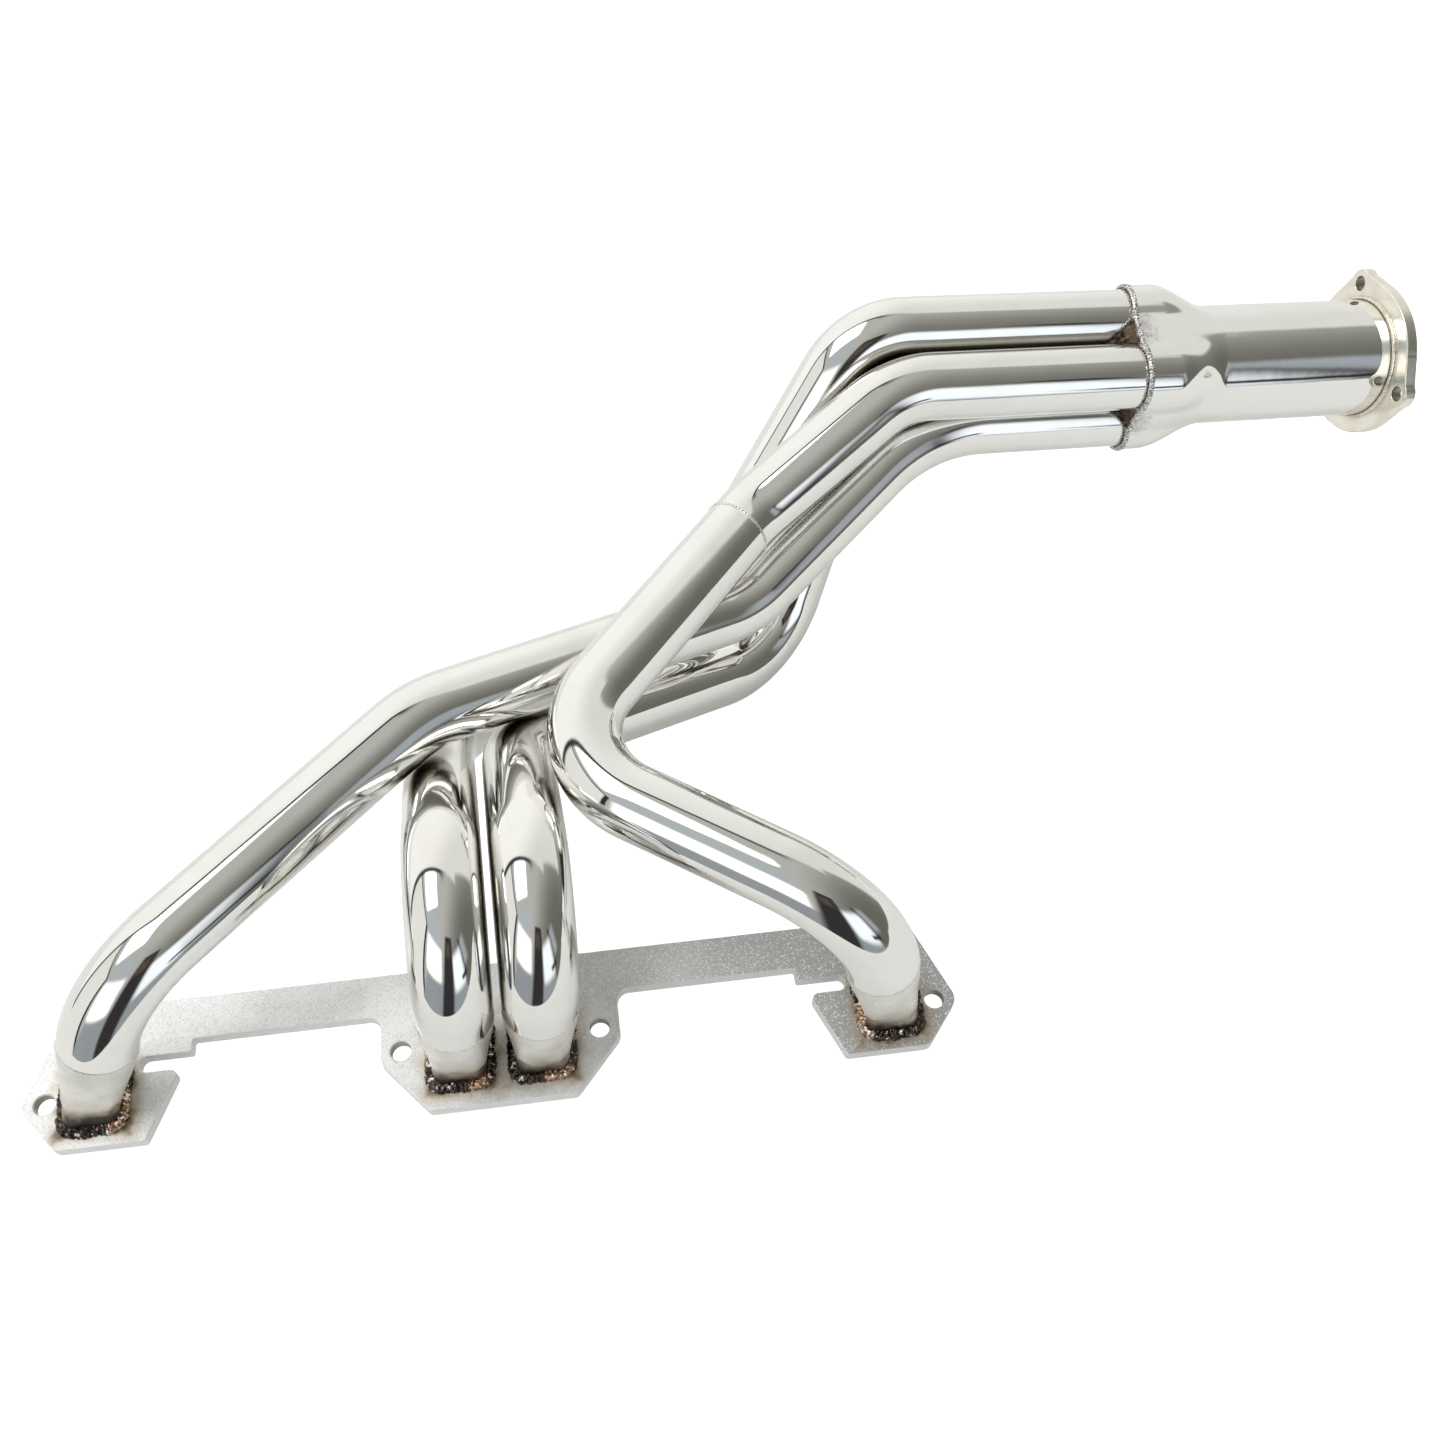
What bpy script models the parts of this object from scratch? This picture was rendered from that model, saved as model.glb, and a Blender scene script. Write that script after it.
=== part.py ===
"""Four-into-one tubular exhaust manifold for one bank of a V8.

Frame: +Z is the head flange's outward normal and its mating face is at z = 0, +X runs along the
flange from port 1 to port 4, and +Y runs in the flange's plane towards the collector's side. The
origin is on the mating face, midway between the two centre ports. Sizes are in millimetres below
and are turned into metres where geometry is made.
"""

import math

import bmesh
import bpy
from mathutils import Matrix, Vector

MM = 0.001
GAP = 0.3                    # clearance between neighbouring pieces

# Head flange
PLATE_THICK = 8.0
BAR_TOP = 50.3
BAR_LOW = 25.0
CENTRE_LOBE_LOW = -33.5
END_LOBE_LOW = -30.5
SLOT_LOW = 8.5
SLOT_HIGH = 17.3
PLATE_HALF_OUTLINE = [       # right-hand half, as (x, y, corner radius)
    (40.5, CENTRE_LOBE_LOW, 4.0),
    (67.0, -3.0, 9.0),
    (67.0, BAR_LOW, 7.0),
    (170.7, BAR_LOW, 1.5),
    (170.7, SLOT_HIGH, 1.5),
    (198.7, SLOT_HIGH, 4.3),
    (198.7, SLOT_LOW, 4.3),
    (176.2, SLOT_LOW, 4.0),
    (192.0, END_LOBE_LOW, 2.0),
    (239.5, END_LOBE_LOW, 6.0),
    (261.0, -4.7, 9.0),
    (240.5, BAR_TOP, 2.5),
]
CORNER_STEP = math.radians(22.5)       # turn between points of a rounded corner
BOLT_RADIUS = 5.6
BOLT_SIDES = 16
OUTER_BOLT = (247.7, -3.5)
INNER_BOLT = (55.6, 3.1)
END_PORT_X = 220.5
CENTRE_PORT_X = 22.9
PORT_Y = -3.0

# Port stubs: rounded rectangle at the flange, round at the tube
STUB_WIDTH = 30.0
STUB_HEIGHT = 35.0
STUB_CORNER = 6.0
STUB_FOOT = 4.0              # straight foot inside the fillet weld
STUB_LENGTH = 52.0
STUB_SIDES = 28
STUB_SHARES = (0.35, 0.7, 1.0)         # sections above the foot, as shares of the length

# Primary tubes
TUBE_OD = 41.3
TUBE_WALL = 1.6
TUBE_RADIUS = TUBE_OD / 2
TUBE_SIDES = 16
BEND_STEP = math.radians(15.0)
SEAM_WIDTH = 1.2

# Bend corners and bend radii of each tube's centreline, from its port to the collector
BENDS = {
    1: [((-188, 14, 101), 66), ((-25, 152, 120), 83), ((169, 240, 78), 68)],
    2: [((-10, -6, 172), 47), ((-26, 195, 36), 54), ((141, 279, 25), 65)],
    3: [((33, -4, 160), 49), ((23, 158, 71), 50), ((193, 265, -15), 62)],
    4: [((201, 0, 120), 66), ((38, 111, 126), 51), ((176, 265, 134), 57)],
}
LAST_BEND_RADIUS = {1: 116, 2: 49, 3: 74, 4: 67}
CLUSTER_RUN = {1: 140.0, 2: 185.0, 3: 168.0, 4: 168.0}   # parallel run into the collector
SPLIT_TUBE = 4               # the tube with a second butt seam, just before its third bend
MID_SEAM_BEFORE_BEND = 4.0

# Collector: axis through the middle of the four tubes
CLUSTER_POINT = Vector((436, 362, 135))
AXIS_AZIMUTH = math.radians(4.7)
AXIS_ELEVATION = math.radians(-6.7)
CLUSTER_ROLL = math.radians(32.6)
CLUSTER_SPACING = TUBE_OD + 0.7
CLUSTER_RADIUS = CLUSTER_SPACING / math.sqrt(2)
MOUTH_CLEARANCE = 0.65       # between the tubes and the faceted mouth
MOUTH_AT = -1.0              # stations along the axis, from the cluster point
MOUTH_LEAN = 6.7             # how far the slanting mouth departs from its mean station
MOUTH_LEAN_ANGLE = math.radians(16.0)  # where round the axis the mouth starts first
TUBES_END_AT = 13.0
CLOVER_END_AT = 12.5
CONE_STATIONS = (22.0, 32.0, 43.0)
CONE_END_AT = 54.0
FLANGE_AT = 176.0
OUTLET_RADIUS = 38.1
COLLECTOR_WALL = 1.6
COLLECTOR_SHORT_OF_FACE = 1.0          # from the collector's end to the flange's outlet face
VALLEY_RADIUS = 41.0         # inner face of the collector between two tubes
COLLECTOR_SIDES = 48
MOUTH_WELD_THICK = 3.6
MOUTH_WELD_CLEARANCE = 1.0   # between the tubes and the faceted weld metal
MOUTH_WELD_PROUD = 1.0       # weld metal outside the collector's wall
MOUTH_WELD_VALLEY = 24.0     # where the weld metal meets the seam between two tubes
PLUG_THICK = 3.0
PLUG_REACH = 16.0
PLUG_SIDES = 32
PLUG_BEHIND_ENDS = 1.0

# Collector flange
OUTLET_FLANGE_THICK = 8.0
OUTLET_FLANGE_RADIUS = 50.5
OUTLET_BOLT_CIRCLE = 48.5
OUTLET_BOLT_RADIUS = 4.8
OUTLET_LOBE_RADIUS = 9.5
OUTLET_LOBE_SPAN = math.radians(29.0)  # half the turn from one flank of a lobe to the other
OUTLET_BOLTS = 3
OUTLET_FIRST_BOLT = math.radians(99.5)
OUTLET_FLANGE_SIDES = 72
OUTLET_BORE_SIDES = 40
OUTLET_BOLT_SIDES = 14

FILLET_RADIUS = 1.35
RING_WELD_RADIUS = 1.6
RING_WELD_SIDES = 32

PORTS = {1: -END_PORT_X, 2: -CENTRE_PORT_X, 3: CENTRE_PORT_X, 4: END_PORT_X}


# ---------------------------------------------------------------- scene and materials

def clear_scene():
    for item in list(bpy.data.objects):
        bpy.data.objects.remove(item, do_unlink=True)


def new_collection(name):
    made = bpy.data.collections.new(name)
    bpy.context.scene.collection.children.link(made)
    return made


def finish_material(name, colour, roughness, metallic):
    made = bpy.data.materials.new(name)
    made.use_nodes = True
    shader = made.node_tree.nodes["Principled BSDF"]
    shader.inputs["Base Color"].default_value = (*colour, 1.0)
    shader.inputs["Roughness"].default_value = roughness
    shader.inputs["Metallic"].default_value = metallic
    return made


def add_object(name, data, material, collection):
    made = bpy.data.objects.new(name, data)
    data.materials.append(material)
    collection.objects.link(made)
    return made


def smooth(mesh, degrees=35.0):
    mesh.shade_smooth()
    mesh.set_sharp_from_angle(angle=math.radians(degrees))


# ---------------------------------------------------------------- outlines

def rounded_outline(corners, step=CORNER_STEP):
    """Closed 2D outline through (x, y, radius) corners, with each corner turned into an arc."""
    points = []
    count = len(corners)
    for i, (x, y, radius) in enumerate(corners):
        here = Vector((x, y))
        back = (Vector(corners[i - 1][:2]) - here).normalized()
        ahead = (Vector(corners[(i + 1) % count][:2]) - here).normalized()
        turn = math.pi - back.angle(ahead)
        if radius <= 0 or turn < 0.01:
            points.append(here)
            continue
        reach = radius * math.tan(turn / 2)
        centre = here + (back + ahead).normalized() * (radius / math.cos(turn / 2))
        start = here + back * reach - centre
        side = 1.0 if back.x * ahead.y - back.y * ahead.x < 0 else -1.0
        pieces = max(1, math.ceil(turn / step))
        for k in range(pieces + 1):
            spin = Matrix.Rotation(side * turn * k / pieces, 2)
            points.append(centre + spin @ start)
    return points


def circle_outline(centre, radius, sides):
    return [Vector((centre[0] + radius * math.cos(2 * math.pi * k / sides),
                    centre[1] + radius * math.sin(2 * math.pi * k / sides)))
            for k in range(sides)]


def rectangle_outline(centre, width, height, corner):
    half_w = width / 2
    half_h = height / 2
    signs = [(1, -1), (1, 1), (-1, 1), (-1, -1)]
    return rounded_outline([(centre[0] + sx * half_w, centre[1] + sy * half_h, corner)
                            for sx, sy in signs])


def plate(name, outlines, thickness, placement, material, collection):
    """A flat plate: filled 2D outlines, the first one outside and the others holes."""
    flat = bpy.data.curves.new(name, "CURVE")
    flat.dimensions = "2D"
    flat.fill_mode = "BOTH"
    flat.extrude = thickness / 2 * MM
    for outline in outlines:
        spline = flat.splines.new("POLY")
        spline.points.add(len(outline) - 1)
        for point, place in zip(spline.points, outline):
            point.co = (place[0] * MM, place[1] * MM, 0.0, 1.0)
        spline.use_cyclic_u = True
    guide = bpy.data.objects.new(name + "_outline", flat)
    collection.objects.link(guide)
    guide.matrix_world = placement
    bpy.context.view_layer.update()
    filled = guide.evaluated_get(bpy.context.evaluated_depsgraph_get())
    mesh = bpy.data.meshes.new_from_object(filled)
    weld_mesh(mesh)
    made = add_object(name, mesh, material, collection)
    made.matrix_world = placement
    bpy.data.objects.remove(guide, do_unlink=True)
    return made


def weld_mesh(mesh):
    work = bmesh.new()
    work.from_mesh(mesh)
    bmesh.ops.remove_doubles(work, verts=work.verts, dist=0.00001)
    bmesh.ops.recalc_face_normals(work, faces=work.faces)
    work.to_mesh(mesh)
    work.free()


# ---------------------------------------------------------------- centrelines

def bent_path(corners, radii):
    """Points of a centreline: straight runs joined by arcs. Also gives each bend's first index."""
    points = [corners[0].copy()]
    starts = []
    for i in range(1, len(corners) - 1):
        here = corners[i]
        back = (corners[i - 1] - here).normalized()
        ahead = (corners[i + 1] - here).normalized()
        turn = math.pi - back.angle(ahead)
        radius = radii[i - 1]
        reach = radius * math.tan(turn / 2)
        centre = here + (back + ahead).normalized() * (radius / math.cos(turn / 2))
        first = here + back * reach - centre
        axis = back.cross(ahead).normalized()
        pieces = max(2, math.ceil(turn / BEND_STEP))
        starts.append(len(points))
        for k in range(pieces + 1):
            points.append(centre + Matrix.Rotation(-turn * k / pieces, 3, axis) @ first)
    points.append(corners[-1].copy())
    return points, starts


def cut_start(points, length):
    """The path with its first length removed, cut on its first straight run."""
    first = points[0]
    towards = (points[1] - first).normalized()
    return [first + towards * length] + points[1:]


def hollow_tube(name, points, material, collection):
    curve = bpy.data.curves.new(name, "CURVE")
    curve.dimensions = "3D"
    curve.bevel_depth = TUBE_RADIUS * MM
    curve.bevel_resolution = TUBE_SIDES // 2 - 2
    curve.use_fill_caps = False
    spline = curve.splines.new("POLY")
    spline.points.add(len(points) - 1)
    for point, place in zip(spline.points, points):
        point.co = (*(place * MM), 1.0)
    made = add_object(name, curve, material, collection)
    wall = made.modifiers.new("wall", "SOLIDIFY")
    wall.thickness = TUBE_WALL * MM
    wall.offset = -1.0
    return made


def bead(name, points, radius, material, collection):
    """A closed weld bead that follows a loop of points."""
    curve = bpy.data.curves.new(name, "CURVE")
    curve.dimensions = "3D"
    curve.bevel_depth = radius * MM
    curve.bevel_resolution = 1
    spline = curve.splines.new("POLY")
    spline.points.add(len(points) - 1)
    for point, place in zip(spline.points, points):
        point.co = (*(place * MM), 1.0)
    spline.use_cyclic_u = True
    return add_object(name, curve, material, collection)


# ---------------------------------------------------------------- lofts

def loft_shell(name, outer_rings, inner_rings, material, collection):
    """A closed shell between matching outer and inner rings, open through the middle."""
    work = bmesh.new()
    outer = [[work.verts.new(p * MM) for p in ring] for ring in outer_rings]
    inner = [[work.verts.new(p * MM) for p in ring] for ring in inner_rings]
    sides = len(outer_rings[0])

    def band(ring_a, ring_b):
        for k in range(sides):
            n = (k + 1) % sides
            work.faces.new((ring_a[k], ring_a[n], ring_b[n], ring_b[k]))

    for low, high in zip(outer, outer[1:]):
        band(low, high)
    for low, high in zip(inner, inner[1:]):
        band(high, low)
    band(inner[0], outer[0])
    band(outer[-1], inner[-1])
    bmesh.ops.recalc_face_normals(work, faces=work.faces)
    mesh = bpy.data.meshes.new(name)
    work.to_mesh(mesh)
    work.free()
    smooth(mesh)
    return add_object(name, mesh, material, collection)


def frame_for(direction, reference=Vector((1, 0, 0))):
    """Two unit vectors square to a direction, the first one near the reference."""
    along = direction.normalized()
    first = (reference - along * reference.dot(along)).normalized()
    return first, along.cross(first)


def turned_ring(centre, direction, radius, sides, reference=Vector((1, 0, 0))):
    first, second = frame_for(direction, reference)
    return [centre + first * (radius * math.cos(2 * math.pi * k / sides))
            + second * (radius * math.sin(2 * math.pi * k / sides)) for k in range(sides)]


def box_radius(angle, half_w, half_h, corner):
    """Distance from the middle of a rounded rectangle to its edge, in the direction angle."""
    c = abs(math.cos(angle))
    s = abs(math.sin(angle))
    inner_w = half_w - corner
    inner_h = half_h - corner
    if c * half_h > s * half_w:
        reach = half_w / c
    else:
        reach = half_h / s
    if c * reach > inner_w and s * reach > inner_h:
        along = inner_w * c + inner_h * s
        off = inner_w ** 2 + inner_h ** 2 - corner ** 2
        reach = along + math.sqrt(along ** 2 - off)
    return reach


# ---------------------------------------------------------------- geometry shared by pieces

AXIS = Vector((math.cos(AXIS_ELEVATION) * math.cos(AXIS_AZIMUTH),
               math.cos(AXIS_ELEVATION) * math.sin(AXIS_AZIMUTH),
               math.sin(AXIS_ELEVATION)))
LEVEL = AXIS.cross(Vector((0, 0, 1))).normalized()
RISE = LEVEL.cross(AXIS)
FRONT = LEVEL * math.cos(CLUSTER_ROLL) + RISE * math.sin(CLUSTER_ROLL)
TOP = RISE * math.cos(CLUSTER_ROLL) - LEVEL * math.sin(CLUSTER_ROLL)
SLOTS = {4: FRONT, 2: TOP, 3: -FRONT, 1: -TOP}


def port_base(number):
    return Vector((PORTS[number], PORT_Y, PLATE_THICK + GAP))


def centreline(number):
    """The whole centreline of a tube, from the top of its stub's foot into the collector."""
    foot = port_base(number) + Vector((0, 0, STUB_FOOT))
    arrive = CLUSTER_POINT + SLOTS[number] * CLUSTER_RADIUS
    bends = BENDS[number]
    corners = [foot] + [Vector(place) for place, radius in bends]
    corners.append(arrive - AXIS * CLUSTER_RUN[number])
    corners.append(arrive + AXIS * TUBES_END_AT)
    radii = [radius for place, radius in bends] + [LAST_BEND_RADIUS[number]]
    return bent_path(corners, radii)


def clover_radius(angle, tube_radius, valley):
    """Polar outline round the four tubes: an arc for each tube, with the valleys filled in."""
    quarter = math.pi / 2
    off = (angle + quarter / 2) % quarter - quarter / 2
    side = CLUSTER_RADIUS * math.sin(off)
    arc = CLUSTER_RADIUS * math.cos(off) + math.sqrt(max(tube_radius ** 2 - side ** 2, 0.0))
    return max(arc, valley)


def on_axis(station, radius, angle):
    """A point by its station, distance and angle about the collector's axis."""
    spoke = FRONT * math.cos(angle) + TOP * math.sin(angle)
    return CLUSTER_POINT + AXIS * station + spoke * radius


def side_angles(sides):
    return [2 * math.pi * k / sides for k in range(sides)]


def mouth_station(angle):
    """Station of the collector's slanting mouth at an angle about its axis."""
    return MOUTH_AT - MOUTH_LEAN * math.cos(angle - MOUTH_LEAN_ANGLE)


def mouth_ring(ahead, offset):
    """The mouth's outline, moved along the axis and offset outwards from the inner face."""
    tube = TUBE_RADIUS + MOUTH_CLEARANCE + offset
    return [on_axis(mouth_station(angle) + ahead, clover_radius(angle, tube, VALLEY_RADIUS + offset),
                    angle) for angle in side_angles(COLLECTOR_SIDES)]


def cone_ring(station, offset):
    """A section of the collector past its mouth, offset outwards from the inner face."""
    share = (station - CLOVER_END_AT) / (CONE_END_AT - CLOVER_END_AT)
    share = min(max(share, 0.0), 1.0)
    blend = share * share * (3 - 2 * share)
    outlet = OUTLET_RADIUS - COLLECTOR_WALL + offset
    ring = []
    for angle in side_angles(COLLECTOR_SIDES):
        clover = clover_radius(angle, TUBE_RADIUS + MOUTH_CLEARANCE + offset, VALLEY_RADIUS + offset)
        ring.append(on_axis(station, clover * (1 - blend) + outlet * blend, angle))
    return ring


# ---------------------------------------------------------------- pieces

def head_flange(material, collection):
    mirrored = [(-x, y, radius) for x, y, radius in reversed(PLATE_HALF_OUTLINE)]
    outlines = [rounded_outline(PLATE_HALF_OUTLINE + mirrored)]
    for number in PORTS:
        outlines.append(rectangle_outline((PORTS[number], PORT_Y), STUB_WIDTH - 2 * TUBE_WALL,
                                          STUB_HEIGHT - 2 * TUBE_WALL, STUB_CORNER - TUBE_WALL))
    for side in (-1, 1):
        for place in (OUTER_BOLT, INNER_BOLT):
            centre = (side * place[0], place[1])
            outlines.append(circle_outline(centre, BOLT_RADIUS, BOLT_SIDES))
    lift = Matrix.Translation((0, 0, PLATE_THICK / 2 * MM))
    return plate("head_flange", outlines, PLATE_THICK, lift, material, collection)


def stub_rings(number, inset):
    """Sections of a stub, from its rectangular foot to its round end."""
    path = centreline(number)[0]
    base = port_base(number)
    foot = path[0]
    lean = (path[1] - foot).normalized()
    half_w = STUB_WIDTH / 2 - inset
    half_h = STUB_HEIGHT / 2 - inset
    corner = STUB_CORNER - inset
    rings = []
    upright = Vector((0, 0, 1))
    stations = [(base, 0.0), (foot, 0.0)]
    for share in STUB_SHARES:
        stations.append((foot + lean * (STUB_LENGTH * share), share))
    for centre, share in stations:
        blend = share * share * (3 - 2 * share)
        direction = upright.lerp(lean, min(share * 2, 1.0))
        first, second = frame_for(direction)
        ring = []
        for k in range(STUB_SIDES):
            angle = 2 * math.pi * (k + 0.5) / STUB_SIDES
            square = box_radius(angle, half_w, half_h, corner)
            radius = square * (1 - blend) + (TUBE_RADIUS - inset) * blend
            ring.append(centre + first * (radius * math.cos(angle))
                        + second * (radius * math.sin(angle)))
        rings.append(ring)
    return rings


def port_stub(number, material, collection):
    return loft_shell(f"port_stub_{number}", stub_rings(number, 0.0),
                      stub_rings(number, TUBE_WALL), material, collection)


def flange_weld(number, material, collection):
    """The fillet bead round a stub's foot."""
    base = port_base(number)
    away = 2 * (GAP + FILLET_RADIUS)
    outline = rectangle_outline((base.x, base.y), STUB_WIDTH + away, STUB_HEIGHT + away,
                                STUB_CORNER + away / 2)
    height = PLATE_THICK + GAP + FILLET_RADIUS
    loop = [Vector((p.x, p.y, height)) for p in outline]
    return bead(f"flange_weld_{number}", loop, FILLET_RADIUS, material, collection)


def seam_ring(name, centre, direction, material, collection):
    """Weld metal flush with the tube, filling the joint between two tube ends."""
    along = direction.normalized()
    faces = [centre - along * (SEAM_WIDTH / 2), centre + along * (SEAM_WIDTH / 2)]
    outer = [turned_ring(face, along, TUBE_RADIUS, TUBE_SIDES) for face in faces]
    inner = [turned_ring(face, along, TUBE_RADIUS - TUBE_WALL, TUBE_SIDES) for face in faces]
    return loft_shell(name, outer, inner, material, collection)


def primary_tube(number, tube_material, weld_material, collection):
    path, starts = centreline(number)
    foot = path[0]
    lean = (path[1] - foot).normalized()
    joint = SEAM_WIDTH + 2 * GAP
    seam_at = foot + lean * (STUB_LENGTH + joint / 2)
    seam_ring(f"seam_weld_{number}", seam_at, lean, weld_material, collection)
    run = cut_start(path, STUB_LENGTH + joint)
    if number != SPLIT_TUBE:
        hollow_tube(f"primary_tube_{number}", run, tube_material, collection)
        return
    bend_start = starts[2]
    along = (run[bend_start] - run[bend_start - 1]).normalized()
    seam_at = run[bend_start] - along * MID_SEAM_BEFORE_BEND
    lower = run[:bend_start] + [seam_at - along * (joint / 2)]
    upper = [seam_at + along * (joint / 2)] + run[bend_start:]
    hollow_tube(f"primary_tube_{number}_lower", lower, tube_material, collection)
    hollow_tube(f"primary_tube_{number}_upper", upper, tube_material, collection)
    seam_ring(f"seam_weld_{number}_mid", seam_at, along, weld_material, collection)


def collector(material, collection):
    """Four-lobed mouth round the tubes, a cone, and a round outlet through the flange."""
    end = FLANGE_AT + OUTLET_FLANGE_THICK - COLLECTOR_SHORT_OF_FACE
    stations = [CLOVER_END_AT, *CONE_STATIONS, CONE_END_AT, end]
    walls = []
    for offset in (COLLECTOR_WALL, 0.0):
        walls.append([mouth_ring(0.0, offset)] + [cone_ring(place, offset) for place in stations])
    return loft_shell("collector", walls[0], walls[1], material, collection)


def collector_weld(material, collection):
    """Weld metal that closes the collector's mouth against the four tubes."""
    edges = (-GAP, -GAP - MOUTH_WELD_THICK / 2, -GAP - MOUTH_WELD_THICK)
    outer = [mouth_ring(edge, COLLECTOR_WALL + proud)
             for edge, proud in zip(edges, (0.0, MOUTH_WELD_PROUD, 0.0))]
    clear = TUBE_RADIUS + MOUTH_WELD_CLEARANCE
    inner = []
    for edge in edges:
        inner.append([on_axis(mouth_station(angle) + edge,
                              clover_radius(angle, clear, MOUTH_WELD_VALLEY), angle)
                      for angle in side_angles(COLLECTOR_SIDES)])
    return loft_shell("collector_weld", outer, inner, material, collection)


def merge_plug(material, collection):
    """The four-pointed plate that closes the gap in the middle of the four tube ends."""
    outline = []
    quarter = math.pi / 2
    for angle in side_angles(PLUG_SIDES):
        off = (angle + quarter / 2) % quarter - quarter / 2
        side = CLUSTER_RADIUS * math.sin(off)
        clear = TUBE_RADIUS + GAP
        near = CLUSTER_RADIUS * math.cos(off) - math.sqrt(max(clear ** 2 - side ** 2, 0.0))
        radius = min(near, PLUG_REACH)
        outline.append(Vector((radius * math.cos(angle), radius * math.sin(angle))))
    placement = axis_placement(TUBES_END_AT - PLUG_BEHIND_ENDS - PLUG_THICK / 2)
    return plate("merge_plug", [outline], PLUG_THICK, placement, material, collection)


def axis_placement(station):
    """World matrix of a plane square to the collector's axis, with its x towards FRONT."""
    centre = (CLUSTER_POINT + AXIS * station) * MM
    turn = Matrix((FRONT, TOP, AXIS)).transposed().to_4x4()
    return Matrix.Translation(centre) @ turn


def outlet_flange_radius(off):
    """Edge of the collector flange at a turn off the nearest bolt: disc, lobe or flank."""
    tip = OUTLET_BOLT_CIRCLE + OUTLET_LOBE_RADIUS
    side = OUTLET_BOLT_CIRCLE * math.sin(off)
    radius = OUTLET_FLANGE_RADIUS
    if abs(side) < OUTLET_LOBE_RADIUS:
        lobe = OUTLET_BOLT_CIRCLE * math.cos(off) + math.sqrt(OUTLET_LOBE_RADIUS ** 2 - side ** 2)
        radius = max(radius, lobe)
    if abs(off) < OUTLET_LOBE_SPAN:
        flank = tip * math.cos(OUTLET_LOBE_SPAN) / math.cos(abs(off) - OUTLET_LOBE_SPAN)
        radius = max(radius, min(flank, tip))
    return radius


def collector_flange(material, collection):
    """Three-bolt flange: a disc with a rounded lobe round each bolt."""
    outline = []
    share = 2 * math.pi / OUTLET_BOLTS
    for turn in side_angles(OUTLET_FLANGE_SIDES):
        radius = outlet_flange_radius((turn + share / 2) % share - share / 2)
        angle = OUTLET_FIRST_BOLT + turn
        outline.append(Vector((radius * math.cos(angle), radius * math.sin(angle))))
    outlines = [outline, circle_outline((0, 0), OUTLET_RADIUS + GAP, OUTLET_BORE_SIDES)]
    for k in range(OUTLET_BOLTS):
        angle = OUTLET_FIRST_BOLT + share * k
        place = (OUTLET_BOLT_CIRCLE * math.cos(angle), OUTLET_BOLT_CIRCLE * math.sin(angle))
        outlines.append(circle_outline(place, OUTLET_BOLT_RADIUS, OUTLET_BOLT_SIDES))
    placement = axis_placement(FLANGE_AT + OUTLET_FLANGE_THICK / 2)
    return plate("collector_flange", outlines, OUTLET_FLANGE_THICK, placement, material, collection)


def collector_flange_weld(material, collection):
    station = FLANGE_AT - GAP - RING_WELD_RADIUS
    reach = OUTLET_RADIUS + GAP + RING_WELD_RADIUS
    loop = turned_ring(CLUSTER_POINT + AXIS * station, AXIS, reach, RING_WELD_SIDES, FRONT)
    return bead("collector_flange_weld", loop, RING_WELD_RADIUS, material, collection)


def main():
    clear_scene()
    parts = new_collection("exhaust_manifold")
    plate_steel = finish_material("blasted_plate", (0.62, 0.63, 0.64), 0.55, 0.85)
    satin = finish_material("satin_stub", (0.66, 0.65, 0.61), 0.3, 1.0)
    polished = finish_material("polished_tube", (0.82, 0.82, 0.80), 0.08, 1.0)
    bead_metal = finish_material("weld_bead", (0.28, 0.25, 0.22), 0.4, 0.9)
    champagne = finish_material("outlet_flange", (0.75, 0.70, 0.58), 0.25, 1.0)
    head_flange(plate_steel, parts)
    for number in PORTS:
        port_stub(number, satin, parts)
        flange_weld(number, bead_metal, parts)
        primary_tube(number, polished, bead_metal, parts)
    collector(polished, parts)
    collector_weld(bead_metal, parts)
    merge_plug(satin, parts)
    collector_flange(champagne, parts)
    collector_flange_weld(bead_metal, parts)


main()
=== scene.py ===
from math import atan2, ceil, cos, hypot, pi, radians, sin, sqrt, tan, tau

import bmesh
import bpy
import numpy as np
from mathutils import Matrix, Vector, noise


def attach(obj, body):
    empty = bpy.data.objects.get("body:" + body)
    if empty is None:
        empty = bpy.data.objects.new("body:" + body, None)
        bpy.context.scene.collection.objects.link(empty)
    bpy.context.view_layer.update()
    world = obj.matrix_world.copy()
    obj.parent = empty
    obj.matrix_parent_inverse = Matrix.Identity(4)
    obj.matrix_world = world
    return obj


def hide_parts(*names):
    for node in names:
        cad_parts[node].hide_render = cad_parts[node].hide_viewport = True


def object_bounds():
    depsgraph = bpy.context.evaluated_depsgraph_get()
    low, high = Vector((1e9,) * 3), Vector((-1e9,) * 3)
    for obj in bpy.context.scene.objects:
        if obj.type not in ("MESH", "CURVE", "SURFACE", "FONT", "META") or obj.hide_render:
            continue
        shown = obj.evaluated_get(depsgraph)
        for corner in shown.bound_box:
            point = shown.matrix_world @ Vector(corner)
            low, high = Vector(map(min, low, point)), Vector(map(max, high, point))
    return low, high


# Looks of the four-into-one exhaust manifold: fine meshes that stand for the CAD nodes, and their
# materials, floor, light and camera. Sizes are in millimetres and become metres in the meshes.

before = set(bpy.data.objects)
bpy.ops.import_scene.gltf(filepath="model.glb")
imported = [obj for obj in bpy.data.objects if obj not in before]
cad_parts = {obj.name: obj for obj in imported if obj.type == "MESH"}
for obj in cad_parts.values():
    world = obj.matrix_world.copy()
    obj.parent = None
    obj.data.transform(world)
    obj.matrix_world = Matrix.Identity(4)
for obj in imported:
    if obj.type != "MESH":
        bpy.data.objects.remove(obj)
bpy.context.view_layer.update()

MM = 0.001

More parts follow.
